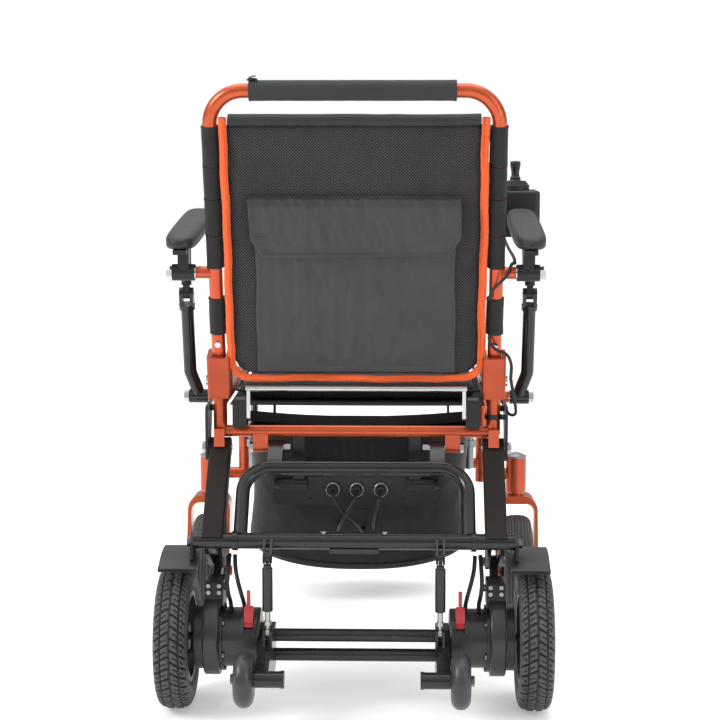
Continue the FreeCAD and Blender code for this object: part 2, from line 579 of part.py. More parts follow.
cushionBack = box(-188, 188, hingeY - 13, hingeY + 15, hingeZ + 6, hingeZ + 415)
corners = [e for e in cushionBack.Edges if abs(e.CenterOfMass.y - hingeY) < 3 and e.Length < 40]
cushionBack = cushionBack.makeFillet(36, [e for e in corners if e.CenterOfMass.z < hingeZ + 50])
corners = [e for e in cushionBack.Edges if abs(e.CenterOfMass.y - hingeY) < 3 and e.Length < 40 and e.CenterOfMass.z > hingeZ + 400]
cushionBack = cushionBack.makeFillet(14, corners)
save("back_cushion", lean(cushionBack))

pocket = rounded(-152, 152, hingeY - 24, hingeY - 13.2, hingeZ + 21, hingeZ + 292, 4)
flapPoints = [(-157, 297), (157, 297), (157, 238), (139, 208), (-137, 208), (-155, 238)]
flapWire = [vec(x, hingeY - 28.5, hingeZ + z) for x, z in flapPoints]
flap = Part.Face(Part.makePolygon(flapWire + flapWire[:1])).extrude(vec(0, 4, 0))
flap = flap.fuse(box(-157, 157, hingeY - 28.5, hingeY - 13.2, hingeZ + 292.5, hingeZ + 297))
save("back_pocket", lean(pocket), lean(flap))

armBolt = rod(222, 274, hingeY, hingeZ + armS, 4.99).fuse(hexHead(272.6, 281, hingeY, hingeZ + armS, 17))
washer = ring(236.7, 238.4, hingeY, hingeZ + armS, 11.5, 4.995)
smallBolt = Part.makeCylinder(4.5, 4, vec(sideX, hingeY - tubeR - 3.4, hingeZ + 63.5), yAxis)
smallBolt = smallBolt.cut(Part.makeCylinder(tubeR + 0.005, 30, vec(sideX, hingeY, hingeZ + 50)))
backBolts = []
for shape in (armBolt, washer, smallBolt):
    backBolts += both(lean(shape))
save("back_bolts", *backBolts)

# joystick lead along the right back tube
upper = pipe([backPoint(228.6, 187, -6), backPoint(225, 178, -17), backPoint(212, 166, -20), backPoint(201, 153, -16),
              backPoint(198.5, 137, -13)], 2.4)
lower = pipe([backPoint(198.5, 78, -12.5), backPoint(200, 69, -17), backPoint(210, 61, -26), backPoint(226, 57, -28),
              backPoint(233, 40, -27), backPoint(232, 14, -25)], 2.4)
tubeClear = lean(Part.makeCylinder(tubeR + 0.05, 420, vec(sideX, hingeY, hingeZ + 14)))
stubClear = lean(rod(sideX, 240, hingeY, hingeZ + armS, 9.1))
save("joystick_lead_back", upper.cut(tubeClear).cut(stubClear), lower.cut(tubeClear))

# ---------------------------------------------------------------- armrests
padSlope = math.degrees(math.atan2(32, 300))
for side, name in ((-1, "left"), (1, "right")):
    pad = box(235, 282, 2, 302, 686, 706)
    pad = pad.makeFillet(8, [e for e in pad.Edges if abs(e.CenterOfMass.z - 706) < 1])
    pad = pad.makeFillet(3, [e for e in pad.Edges if abs(e.CenterOfMass.z - 686) < 1])
    pad.rotate(vec(0, 2, 686), xAxis, padSlope)
    padClear = box(230, 290, -10, 330, 686, 712)
    padClear.rotate(vec(0, 2, 686), xAxis, padSlope)
    spine = box(248, 268, 6, 270, 679, 685.98)
    spine.rotate(vec(0, 2, 686), xAxis, padSlope)
    barrelC = rod(238.6, 272.3, armY, armZ, 12.5)
    neck = plate([(armY - 11, armZ), (armY - 13, 690), (armY + 22, 694), (armY + 11, armZ)], 247, 263)
    stubD = bar((armX, topY, topZ + 13), (armX, topY, 706), 8)
    tongue = box(armX - 4.8, armX + 4.8, topY - 8, topY + 8, topZ, topZ + 16).fuse(rod(armX - 4.8, armX + 4.8, topY, topZ, 8.6))
    bracket = spine.fuse(barrelC).fuse(neck).fuse(stubD).fuse(tongue)
    bracket = bracket.cut(padClear).cut(rod(230, 290, armY, armZ, 5 + fit)).cut(rod(250, 290, topY, topZ, 3.25))
    bracket = bracket.removeSplitter()
    if side < 0:
        pad = mirrored(pad)
        bracket = mirrored(bracket)
    save("arm_pad_" + name, pad)
    save("arm_bracket_" + name, bracket)
    # the post leans with the back, from the lower barrel to the fork at the top pivot
    foot = rod(239, 269.3, postY, postZ, 11)
    length = armS
    tube = pipe([(256, postY, postZ + 4), (256, postY, postZ + 12), (armX, postY, postZ + 42), (armX, postY, postZ + length - 26)], 10, 18)
    collar = Part.makeCylinder(12.5, 8, vec(armX, postY, postZ + length - 26))
    cheeks = box(armX - 11, armX - 5.3, postY - 9, postY + 9, postZ + length - 20, postZ + length)
    cheeks = cheeks.fuse(rod(armX - 11, armX - 5.3, postY, postZ + length, 9))
    cheeks = cheeks.fuse(cheeks.copy().mirror(vec(armX, 0, 0), xAxis))
    pin = rod(armX - 11.5, armX + 11.5, postY, postZ + length, 3)
    post = tube.fuse(foot).fuse(collar).fuse(cheeks).fuse(pin)
    post = post.cut(rod(230, 290, postY, postZ, 5 + fit)).removeSplitter()
    post.rotate(vec(0, postY, postZ), xAxis, recline)
    save("arm_post_" + name, post if side > 0 else mirrored(post))

# ---------------------------------------------------------------- joystick control
boxY0 = 306.0
boxY1 = 404.0
boxTop = 765.0
stickX = 253.0
stickY = 340.0
stickPivot = 768.0
control = box(214, 292, boxY0, boxY1, 706, boxTop)
control = control.makeFillet(9, [e for e in control.Edges if e.Length < 60 and abs(e.CenterOfMass.z - 735) < 5])
control = control.makeFillet(5, [e for e in control.Edges if abs(e.CenterOfMass.z - boxTop) < 1])
shelf = box(244, 272, 250, 330, 698, 706)
shelf = shelf.fuse(box(232, 280, 306, 380, 690, 706))
shelf = shelf.cut(box(225, 300, 200, 305.9, 705, 800))
padTop = box(230, 290, -10, 306, 678, 720)
padTop.rotate(vec(0, 2, 686), xAxis, padSlope)
shelf = shelf.cut(padTop)
control = control.fuse(shelf)
control = control.fuse(Part.makeCylinder(23, 7, vec(stickX, stickY, boxTop)))
control = control.cut(Part.makeCylinder(15, 24, vec(stickX, stickY, boxTop - 12)))
control = control.cut(Part.makeCylinder(6.3, 9, vec(stickX, 388, boxTop - 5)))
save("control_box", control.removeSplitter())
gimbal = Part.makeCylinder(10, 4, vec(stickX, stickY, stickPivot - 2)).cut(Part.makeCylinder(7, 6, vec(stickX, stickY, stickPivot - 3)))
gimbal = gimbal.fuse(rod(stickX - 14.8, stickX - 9, stickY, stickPivot, 1.5)).fuse(rod(stickX + 9, stickX + 14.8, stickY, stickPivot, 1.5))
gimbal = gimbal.removeSplitter()
save("joystick_gimbal", gimbal)
stick = Part.makeCylinder(3.4, 34, vec(stickX, stickY, stickPivot - 2.8))
stick = stick.fuse(Part.makeCone(11.5, 5.5, 19, vec(stickX, stickY, stickPivot + 6)))
stick = stick.fuse(Part.makeCylinder(1.4, 13.6, vec(stickX, stickY - 6.8, stickPivot), yAxis))
knobTop = Part.makeCylinder(9, 20, vec(stickX, stickY, 793)).fuse(Part.makeCylinder(11.5, 7, vec(stickX, stickY, 804)))
knobTop = knobTop.makeFillet(1.5, [e for e in knobTop.Edges if abs(e.CenterOfMass.z - 813) < 0.1])
knobTop = knobTop.common(box(0, 400, 0, 500, 780, 813))
save("joystick_stick", stick.fuse(knobTop).removeSplitter())
button = Part.makeCylinder(6, 5, vec(stickX, 388, boxTop - 2.9))
button = button.makeFillet(1, [e for e in button.Edges if abs(e.CenterOfMass.z - boxTop - 2.1) < 0.1])
save("power_button", button)
armLead = pipe([(226, 305.4, 726), (226, 285, 722), (227, 250, 704), (229, 205, 692), (230, 150, 686), (232, 100, 680),
                (234, 64, 676), (235, 44, 672), (235, 30, 666.5)], 2.4)
save("joystick_lead_arm", armLead)

# ---------------------------------------------------------------- footplate and release bar
foot = box(-150, 150, plateY + 10, plateY + plateDepth, plateZ - 4, plateZ + 4)
foot = foot.makeFillet(18, [e for e in foot.Edges if e.Length < 10 and e.CenterOfMass.y > plateY + 100])
ears = rod(-83.6, 83.6, plateY, plateZ, 8).fuse(box(-83.6, 83.6, plateY, plateY + 12, plateZ - 4, plateZ + 4))
pins = rod(-109, 109, plateY, plateZ, 4)
foot = foot.fuse(ears).fuse(pins)
for x in (-95, 95):
    foot = foot.cut(box(x - 11.4, x + 11.4, plateY + 5, plateY + 37, plateZ - 10, plateZ + 10))
save("footplate", foot.removeSplitter())

bar1 = rod(-167, 167, 60, 475, 4.5)
handleArm = plate([(56.5, 430), (56.5, 475), (63.5, 475), (67.5, 432), (62, 427)], 160, 165.4)
handleArm = handleArm.fuse(rod(160, 176, 62, 432, 3))
release = bar1.fuse(handleArm).fuse(mirrored(handleArm)).removeSplitter()
save("release_bar", release)
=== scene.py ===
import bpy
import math
import numpy as np
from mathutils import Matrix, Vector


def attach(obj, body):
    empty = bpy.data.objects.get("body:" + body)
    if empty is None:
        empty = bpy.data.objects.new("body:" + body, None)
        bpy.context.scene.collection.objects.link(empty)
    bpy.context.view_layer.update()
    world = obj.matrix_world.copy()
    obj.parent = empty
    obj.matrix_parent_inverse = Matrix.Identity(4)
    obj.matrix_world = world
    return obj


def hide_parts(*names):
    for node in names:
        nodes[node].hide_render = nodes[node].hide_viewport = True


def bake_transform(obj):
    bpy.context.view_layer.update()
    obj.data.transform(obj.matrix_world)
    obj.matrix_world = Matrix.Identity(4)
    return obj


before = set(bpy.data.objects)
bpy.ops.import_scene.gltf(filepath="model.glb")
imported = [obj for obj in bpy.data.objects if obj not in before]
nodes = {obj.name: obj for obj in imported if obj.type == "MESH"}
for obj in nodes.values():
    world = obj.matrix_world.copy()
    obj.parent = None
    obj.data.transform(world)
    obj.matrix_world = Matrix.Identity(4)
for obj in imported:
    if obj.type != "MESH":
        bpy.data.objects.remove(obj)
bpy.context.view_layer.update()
print("frame loaded:", len(nodes), "nodes")

# Shared places, in millimetres from the rear axle
axleY = -300.0
recline = math.radians(16)
hinge = (84.0, 484.0)
sideX = 208.0


# Millimetres measured from the rear axle to metres in the frame.
def place(x, y, z):
    x, y, z = np.broadcast_arrays(x, y, z)
    return np.stack([x, y + axleY, z], -1) / 1000.0


# A point s up the back tubes and n in front of their plane, turned about the hinge by the recline.
def backPlace(x, s, n):
    y = hinge[0] - s * math.sin(recline) + n * math.cos(recline)
    z = hinge[1] + s * math.cos(recline) + n * math.sin(recline)
    return place(x, y, z)


# Smooth step: 0 below low, 1 above high, 3t^2 - 2t^3 between.
def ease(x, low, high):
    t = np.clip((x - low) / (high - low), 0, 1)
    return t * t * (3 - 2 * t)


# Sum of a few sine waves with seeded directions: a smooth, uneven field between about -1 and 1.
def swell(x, y, seed, count=7, longest=1.0):
    rng = np.random.default_rng(seed)
    total = np.zeros(np.broadcast(x, y).shape)
    for k in range(count):
        angle = rng.uniform(0, 2 * np.pi)
        wave = 2 * np.pi / (longest / (1 + 0.55 * k))
        total += np.sin((x * np.cos(angle) + y * np.sin(angle)) * wave + rng.uniform(0, 6.3)) / (1 + 0.5 * k)
    return total / 3.0


# Bends a sine or cosine towards the square corner of a superellipse, and keeps its sign.
def bent(value, power):
    return np.sign(value) * np.abs(value) ** power


# Evenly spaced angles once round.
def turns(count):
    return np.linspace(0, 2 * np.pi, count, endpoint=False)


# How far each point lies along a line.
def lengths(line):
    return np.concatenate([[0], np.cumsum(np.linalg.norm(np.diff(line, axis=0), axis=1))])


# Points spread evenly along a line: count of them, or one every step, from half a step in.
def spaced(line, count=None, step=None, closed=False):
    along = lengths(line)
    if step:
        even = np.arange(step / 2, along[-1], step)
    else:
        even = np.linspace(0, along[-1], count, endpoint=not closed)
    return np.stack([np.interp(even, along, column) for column in line.T], 1)


def linked(name, data):
    piece = bpy.data.objects.new(name, data)
    bpy.context.scene.collection.objects.link(piece)
    return piece


# Quads over an array of points [u, v], with a UV in metres. caps close both ends of u, or the last alone.
def gridPiece(name, points, closeU=False, closeV=False, caps=False):
    m, n = points.shape[:2]
    du = np.linalg.norm(np.diff(points, axis=0), axis=-1).mean(1).sum() * (m / (m - 1) if closeU else 1)
    dv = np.linalg.norm(np.diff(points, axis=1), axis=-1).mean(0).sum() * (n / (n - 1) if closeV else 1)
    i, j = np.meshgrid(np.arange(m if closeU else m - 1), np.arange(n if closeV else n - 1), indexing="ij")
    iNext, jNext = (i + 1) % m, (j + 1) % n
    quads = np.stack([i * n + j, iNext * n + j, iNext * n + jNext, i * n + jNext], -1).reshape(-1, 4)
    uLine = np.arange(m + 1) / (m if closeU else m - 1) * du
    vLine = np.arange(n + 1) / (n if closeV else n - 1) * dv
    corners = np.stack([np.stack([uLine[i + a], vLine[j + b]], -1) for a, b in ((0, 0), (1, 0), (1, 1), (0, 1))], 2)
    uvs = corners.reshape(-1, 2)
    flat = points.reshape(-1, 3)
    tri = flat[quads[:, :3]] - flat.mean(0)
    other = flat[quads[:, [0, 2, 3]]] - flat.mean(0)
    volume = np.einsum("ij,ij->i", tri[:, 0], np.cross(tri[:, 1], tri[:, 2])).sum()
    volume += np.einsum("ij,ij->i", other[:, 0], np.cross(other[:, 1], other[:, 2])).sum()
    faces = quads.tolist()
    if caps:
        faces += [list(range(n))[::-1]] if caps != "last" else []
        faces += [list(range((m - 1) * n, m * n))]
        uvs = np.concatenate([uvs, np.zeros((sum(len(face) for face in faces[len(quads):]), 2))])
    mesh = bpy.data.meshes.new(name)
    mesh.from_pydata(flat.tolist(), [], faces)
    layer = mesh.uv_layers.new(name="UVMap")
    layer.data.foreach_set("uv", uvs.astype(np.float32).ravel())
    if volume < 0 and (closeU or closeV):
        mesh.flip_normals()
    mesh.shade_smooth()
    mesh.update()
    return linked(name, mesh)


# Several pieces made one object.
def joined(name, pieces):
    bpy.ops.object.select_all(action="DESELECT")
    for piece in pieces:
        piece.select_set(True)
    bpy.context.view_layer.objects.active = pieces[0]
    if len(pieces) > 1:
        bpy.ops.object.join()
    whole = bpy.context.view_layer.objects.active
    whole.name = name
    whole.data.name = name
    return whole


# A profile of (along, radius) pairs turned round an axis: 0 is X, 2 is Z.
def lathePoints(profile, centre, axis, steps):
    profile = np.array(profile, float)
    angle = turns(steps)
    along = profile[:, 0][:, None] + 0 * angle[None, :]
    c = profile[:, 1][:, None] * np.cos(angle)
    s = profile[:, 1][:, None] * np.sin(angle)
    x, y, z = centre
    if axis == 0:
        return place(x + along, y + c, z + s)
    return place(x + c, y + s, z + along)


def lathe(name, profile, centre, axis, steps=64):
    return gridPiece(name, lathePoints(profile, centre, axis, steps), closeV=True, caps=True)


# A closed line through the given corners, evened out and softened by a running mean.
def roundedLine(points, count):
    fine = spaced(np.array(points + points[:1], float), count, closed=True)
    return 0.25 * np.roll(fine, 1, 0) + 0.5 * fine + 0.25 * np.roll(fine, -1, 0)


# A circle (or oval) of the given radius carried along a line of points, square to its direction.
def tube(name, centre, radius, sides=20, flatten=1.0, lift=(0, 0, 1), closed=False, caps=True):
    centre = np.asarray(centre, float)
    if closed:
        ahead = np.roll(centre, -1, 0) - np.roll(centre, 1, 0)
    else:
        ahead = np.gradient(centre, axis=0)
    ahead /= np.linalg.norm(ahead, axis=1)[:, None]
    side = np.cross(ahead, np.asarray(lift, float))
    side /= np.linalg.norm(side, axis=1)[:, None]
    up = np.cross(side, ahead)
    angle = turns(sides)
    radius = np.broadcast_to(np.asarray(radius, float),
            (len(centre), sides) if np.ndim(radius) == 2 else (len(centre),))
    radius = radius if radius.ndim == 2 else radius[:, None]
    ring = side[:, None] * np.cos(angle)[None, :, None] + up[:, None] * np.sin(angle)[None, :, None] * flatten
    points = centre[:, None] + ring * radius[..., None]
    return gridPiece(name, points, closeU=closed, closeV=True, caps=caps and not closed)


# A B-spline of degree 2 through the runs of a control line, as an array of points.
def smoothLine(points, count):
    curve = bpy.data.curves.new("route", "CURVE")
    curve.dimensions = "3D"
    spline = curve.splines.new("NURBS")
    spline.points.add(len(points) - 1)
    spline.points.foreach_set("co", np.concatenate([points, np.ones((len(points), 1))], 1).ravel())
    spline.order_u = 3
    spline.use_endpoint_u = True
    spline.resolution_u = 24
    carrier = linked("route", curve)
    mesh = bpy.data.meshes.new_from_object(carrier)
    line = np.empty(len(mesh.vertices) * 3)
    mesh.vertices.foreach_get("co", line)
    bpy.data.objects.remove(carrier)
    bpy.data.meshes.remove(mesh)
    return spaced(line.reshape(-1, 3), count)


def shaderGroup(name, inputs, outputs):
    group = bpy.data.node_groups.new(name, "ShaderNodeTree")
    kinds = {"f": "NodeSocketFloat", "c": "NodeSocketColor", "v": "NodeSocketVector"}
    for label, kind, value in inputs:
        socket = group.interface.new_socket(name=label, in_out="INPUT", socket_type=kinds[kind])
        if value is not None:
            socket.default_value = value
    for label, kind in outputs:
        group.interface.new_socket(name=label, in_out="OUTPUT", socket_type=kinds[kind])
    enter = group.nodes.new("NodeGroupInput")
    leave = group.nodes.new("NodeGroupOutput")
    return group, enter, lambda *values: [group.links.new(value, leave.inputs[k]) for k, value in enumerate(values)]


# A node's input is linked from a socket or given a plain value.
def setInput(tree, target, value):
    if isinstance(value, bpy.types.NodeSocket):
        tree.links.new(value, target)
    else:
        target.default_value = value


def addNode(tree, kind, values=None, **settings):
    node = tree.nodes.new(kind)
    for key, value in settings.items():
        setattr(node, key, value)
    for key, value in (values or {}).items():
        setInput(tree, node.inputs[key], value)
    return node


def calc(tree, operation, a, b=None, c=None):
    node = tree.nodes.new("ShaderNodeMath")
    node.operation = operation
    for index, value in enumerate((a, b, c)):
        if value is not None:
            setInput(tree, node.inputs[index], value)
    return node.outputs[0]


def times(tree, a, b):
    return calc(tree, "MULTIPLY", a, b)


# The value carried from one range to another, and held at its ends.
def remap(tree, value, fromMin=0.0, fromMax=1.0, toMin=0.0, toMax=1.0):
    limits = {"From Min": fromMin, "From Max": fromMax, "To Min": toMin, "To Max": toMax}
    return addNode(tree, "ShaderNodeMapRange", {"Value": value, **limits}).outputs[0]


def mixColour(tree, factor, a, b):
    node = tree.nodes.new("ShaderNodeMix")
    node.data_type = "RGBA"
    for index, value in ((0, factor), (6, a), (7, b)):
        setInput(tree, node.inputs[index], (*value, 1) if isinstance(value, tuple) else value)
    return node.outputs[2]


# Cloudy patches, fine grain and sparse specks, each 0 to 1, from noise at three sizes.
def buildSurfaceGroup():
    group, enter, leave = shaderGroup("surfaceGrain",
            [("Vector", "v", None), ("Patch Scale", "f", 9.0), ("Grain Scale", "f", 900.0)],
                                      [("Patches", "f"), ("Grain", "f"), ("Specks", "f")])
    cloud = addNode(group, "ShaderNodeTexNoise", {"Vector": enter.outputs[0], "Scale": enter.outputs[1],
            "Detail": 5.0, "Roughness": 0.62})
    fine = addNode(group, "ShaderNodeTexNoise", {"Vector": enter.outputs[0], "Scale": enter.outputs[2], "Detail": 2.0,
            "Roughness": 0.5})
    speck = addNode(group, "ShaderNodeTexVoronoi", {"Vector": enter.outputs[0],
            "Scale": times(group, enter.outputs[2], 0.22)})
    shaped = remap(group, cloud.outputs[0], 0.32, 0.68)
    dots = remap(group, speck.outputs["Distance"], 0.16, 0.05)
    leave(shaped, fine.outputs[0], dots)
    return group


# Over-and-under threads: sine ridges along both UV axes, taking turns on top.
def buildWeaveGroup():
    group, enter, leave = shaderGroup("plainWeave", [("Vector", "v", None), ("Threads", "f", 1400.0)],
            [("Height", "f"), ("Gap", "f")])
    split = addNode(group, "ShaderNodeSeparateXYZ", {0: enter.outputs[0]})
    half = times(group, enter.outputs[1], math.pi)
    u = times(group, split.outputs[0], half)
    v = times(group, split.outputs[1], half)
    warp = calc(group, "ABSOLUTE", calc(group, "SINE", u))
    weft = calc(group, "ABSOLUTE", calc(group, "SINE", v))
    turn = times(group, calc(group, "SINE", times(group, u, 0.5)), calc(group, "SINE", times(group, v, 0.5)))
    over = calc(group, "MULTIPLY_ADD", turn, 0.5, 0.5)
    height = calc(group, "ADD", times(group, warp, over), times(group, weft, calc(group, "SUBTRACT", 1.0, over)))
    gap = calc(group, "SUBTRACT", 1.0, calc(group, "MAXIMUM", warp, weft))
    leave(height, gap)
    return group


# Spacer mesh: small holes in rows, each row shifted by half, where cos(x) cos(y) is lowest.
def buildAirMeshGroup():
    group, enter, leave = shaderGroup("airMesh", [("Vector", "v", None), ("Cells", "f", 230.0)],
            [("Height", "f"), ("Hole", "f")])
    split = addNode(group, "ShaderNodeSeparateXYZ", {0: enter.outputs[0]})
    turn = times(group, enter.outputs[1], 2 * math.pi)
    u = times(group, split.outputs[0], turn)
    v = times(group, split.outputs[1], turn)
    product = times(group, calc(group, "COSINE", u), calc(group, "COSINE", v))
    height = calc(group, "MULTIPLY_ADD", product, 0.5, 0.5)
    hole = remap(group, height, 0.55, 0.22)
    leave(height, hole)
    return group


# Dust that settles on what faces up, broken by noise.
def buildDustGroup():
    group, enter, leave = shaderGroup("dust", [("Vector", "v", None), ("Amount", "f", 0.3)], [("Mask", "f")])
    shape = addNode(group, "ShaderNodeNewGeometry")
    up = addNode(group, "ShaderNodeSeparateXYZ", {0: shape.outputs["Normal"]})
    facing = remap(group, up.outputs[2], 0.2, 1.0)
    noise = addNode(group, "ShaderNodeTexNoise", {"Vector": enter.outputs[0], "Scale": 60.0, "Detail": 6.0,
            "Roughness": 0.7})
    broken = times(group, facing, noise.outputs[0])
    leave(times(group, broken, enter.outputs[1]))
    return group


surfaceGroup = buildSurfaceGroup()
weaveGroup = buildWeaveGroup()
airMeshGroup = buildAirMeshGroup()
dustGroup = buildDustGroup()


def useGroup(tree, group, vector, values):
    node = tree.nodes.new("ShaderNodeGroup")
    node.node_tree = group
    tree.links.new(vector, node.inputs[0])
    for key, value in values.items():
        node.inputs[key].default_value = value
    return node


def newMaterial(name, look):
    material = bpy.data.materials.new(name)
    material.use_nodes = True
    tree = material.node_tree
    shader = tree.nodes["Principled BSDF"]
    plain = {"metallic": "Metallic", "coat": "Coat Weight", "coatRough": "Coat Roughness", "sheen": "Sheen Weight",
             "sheenRough": "Sheen Roughness", "specular": "Specular IOR Level"}
    for key, socket in plain.items():
        if key in look:
            shader.inputs[socket].default_value = look[key]
    material.diffuse_color = (*look["base"], 1)
    return material, tree, shader


# Patches change colour and roughness, grain makes bump, and dust lightens what faces up. Paint, plastic, rubber and
# metal have specks, and tyre tread grooves are darkened as painted shade; cloth has a weave or mesh, on the piece's
# UV in metres or on its coordinates.
def makeFinish(name, look):
    material, tree, shader = newMaterial(name, look)
    where = addNode(tree, "ShaderNodeTexCoord")
    soft = "pattern" in look
    grain = useGroup(tree, surfaceGroup, where.outputs["Object"],
                     {"Patch Scale": 14.0 if soft else 12.0, "Grain Scale": look.get("grain", 1500.0)})
    dusty = useGroup(tree, dustGroup, where.outputs["Object"], {"Amount": look.get("dust", 0.12 if soft else 0.06)})
    patches, dust = grain.outputs["Patches"], dusty.outputs[0]
    colour = mixColour(tree, patches, look["base"], look["shade"])
    rough = remap(tree, patches, 0.0, 1.0, *look["rough"])
    if soft:
        spot = where.outputs["UV" if look.get("useUv", True) else "Object"]
        if "turn" in look:
            spot = addNode(tree, "ShaderNodeMapping", {"Vector": spot, "Rotation": look["turn"]}).outputs[0]
        group, pitch = (airMeshGroup, "Cells") if look["pattern"] == "mesh" else (weaveGroup, "Threads")
        weave = useGroup(tree, group, spot, {pitch: look["pitch"]})
        colour = mixColour(tree, weave.outputs[1], colour, look["deep"])
        height = calc(tree, "ADD", weave.outputs[0], times(tree, grain.outputs["Grain"], 0.3))
    else:
        rough = calc(tree, "ADD", rough, times(tree, dust, 0.35))
        height = calc(tree, "ADD", grain.outputs["Grain"],
                      times(tree, grain.outputs["Specks"], look.get("specks", 0.2)))
    colour = mixColour(tree, dust, colour, look.get("dustColour", (0.25, 0.24, 0.23) if soft else (0.32, 0.30, 0.28)))
    # tyre tread grooves: colour pulled towards black by groove depth, painted shade in the recesses
    if "groove" in look:
        cut = addNode(tree, "ShaderNodeAttribute", attribute_name="groove")
        colour = mixColour(tree, times(tree, cut.outputs["Fac"], look["groove"]), colour, (0.002, 0.002, 0.002))
    strength, depth = look.get("bump", 0.6), look.get("depth", 0.0006 if soft else 0.0003)
    bump = addNode(tree, "ShaderNodeBump", {"Height": height, "Strength": strength, "Distance": depth})
    for value, socket in ((colour, "Base Color"), (rough, "Roughness"), (bump.outputs[0], "Normal")):
        tree.links.new(value, shader.inputs[socket])
    return material


# In each colour, one number stands for a grey.
def asColour(value):
    return value if isinstance(value, tuple) else (value,) * 3


def hard(base, shade, rough, grain, bump, **more):
    return dict(more, base=asColour(base), shade=asColour(shade), rough=rough, grain=grain, bump=bump)


def cloth(pattern, pitch, base, shade, deep, rough, **more):
    return dict(more, pattern=pattern, pitch=pitch, base=asColour(base), shade=asColour(shade), deep=asColour(deep),
                rough=rough)


looks = {
    "orangeTube": hard((0.54, 0.082, 0.019), (0.45, 0.062, 0.014), (0.26, 0.36), 2600, 0.05, metallic=0.6, coat=0.35,
                       coatRough=0.15),
    "orangeBlock": hard((0.44, 0.06, 0.015), (0.36, 0.047, 0.011), (0.3, 0.42), 1800, 0.08, metallic=0.6, coat=0.25,
                        coatRough=0.2),
    "orangeFork": hard((0.6, 0.105, 0.022), (0.52, 0.082, 0.017), (0.28, 0.36), 2200, 0.06, metallic=0.5, coat=0.4,
                       coatRough=0.12),
    "blackGloss": hard(0.006, 0.01, (0.22, 0.32), 700, 0.06, coat=0.2, coatRough=0.1, specular=0.4, dust=0.04),
    "legBlack": hard((0.012, 0.01, 0.009), (0.02, 0.017, 0.015), (0.3, 0.42), 1100, 0.05, specular=0.12, dust=0.02),
    "blackSatin": hard(0.008, 0.013, (0.34, 0.46), 1300, 0.12, specular=0.35),
    "motorBlack": hard((0.017, 0.016, 0.016), (0.027, 0.026, 0.025), (0.32, 0.42), 900, 0.14, specular=0.45, coat=0.2,
                       coatRough=0.25, specks=0.4),
    "guardPlastic": hard(0.01, 0.015, (0.3, 0.4), 1500, 0.12, specular=0.4),
    "chrome": hard((0.6, 0.6, 0.61), (0.5, 0.5, 0.51), (0.08, 0.18), 2400, 0.02, metallic=1.0, dust=0.02),
    "steel": hard((0.46, 0.45, 0.43), (0.36, 0.35, 0.33), (0.24, 0.36), 2400, 0.05, metallic=1.0),
    "strutGrey": hard((0.3, 0.31, 0.32), (0.22, 0.23, 0.24), (0.28, 0.4), 2000, 0.05, metallic=0.8),
    # groove: strength of the painted shade in the tread grooves
    "tyre": hard((0.052, 0.051, 0.05), (0.085, 0.083, 0.081), (0.5, 0.68), 1100, 0.3, specular=0.4, depth=0.0004,
                 dust=0.04, groove=0.95, dustColour=(0.22, 0.21, 0.2)),
    "rimGrey": hard((0.03, 0.03, 0.032), (0.05, 0.05, 0.052), (0.35, 0.48), 1500, 0.1, metallic=0.5),
    "tipRubber": hard((0.022, 0.023, 0.027), (0.032, 0.033, 0.038), (0.25, 0.38), 1300, 0.15),
    "leadRubber": hard(0.008, 0.013, (0.38, 0.5), 1700, 0.1, specular=0.4),
    "leverRed": hard((0.5, 0.009, 0.012), (0.41, 0.006, 0.009), (0.26, 0.36), 1500, 0.08, coat=0.3, coatRough=0.15),
    "padFoam": hard(0.014, (0.024, 0.023, 0.023), (0.44, 0.58), 620, 0.5, specular=0.4, depth=0.0006, specks=0.8),
    "controlPlastic": hard((0.009, 0.009, 0.01), 0.015, (0.42, 0.52), 1400, 0.3, specular=0.4, specks=0.6),
    "controllerCase": hard(0.008, 0.013, (0.28, 0.4), 1000, 0.15, specular=0.4),
    "batteryCase": hard((0.016, 0.016, 0.017), (0.024, 0.024, 0.025), (0.42, 0.55), 900, 0.3, specular=0.4),
    "buttonGreen": hard((0.03, 0.25, 0.07), (0.025, 0.2, 0.06), (0.3, 0.36), 1500, 0.06),
    "plateBlack": hard((0.02, 0.02, 0.021), (0.034, 0.034, 0.035), (0.5, 0.66), 420, 0.6, depth=0.0008, specks=1.0,
                       dust=0.2),
    "boltHead": hard(0.28, 0.2, (0.18, 0.3), 2400, 0.04, metallic=1.0),
}
cloths = {
    "airMesh": cloth("mesh", 215, (0.044, 0.043, 0.046), (0.062, 0.061, 0.064), 0.002, (0.75, 0.9), specular=0.2,
                     sheen=0.06, sheenRough=0.5, dust=0.0, bump=1.0, depth=0.0012, useUv=False,
                     turn=(-math.pi / 2 - recline, 0, 0)),
    "pocketCoat": cloth("weave", 1500, (0.028, 0.028, 0.029), (0.044, 0.044, 0.045), (0.02, 0.02, 0.021), (0.4, 0.52),
                        specular=0.4, bump=0.25, depth=0.0003, dust=0.02),
    "blackWeave": cloth("weave", 900, (0.014, 0.014, 0.015), (0.021, 0.021, 0.022), 0.004, (0.6, 0.75), specular=0.3,
                        dust=0.02, sheen=0.05, bump=0.6),
    "neoprene": cloth("weave", 1300, (0.028, 0.029, 0.03), (0.036, 0.037, 0.038), (0.007, 0.007, 0.008), (0.6, 0.75),
                      specular=0.3, dust=0.0, sheen=0.08, bump=0.4),
    "seatCloth": cloth("mesh", 215, (0.03, 0.03, 0.032), (0.042, 0.042, 0.044), 0.002, (0.75, 0.9), specular=0.2,
                       dust=0.03, sheen=0.06, bump=0.9, depth=0.001, useUv=False),
    "pipingOrange": cloth("weave", 520, (0.98, 0.135, 0.006), (0.9, 0.11, 0.005), (0.5, 0.04, 0.004), (0.55, 0.7),
            sheen=0.2, bump=0.9, depth=0.0009, dust=0.0),
    "bagCloth": cloth("weave", 800, 0.013, (0.022, 0.022, 0.023), 0.004, (0.4, 0.55), specular=0.4, dust=0.0,
                      sheen=0.03, bump=0.5),
}
finishes = {name: makeFinish(name, look) for name, look in {**looks, **cloths}.items()}
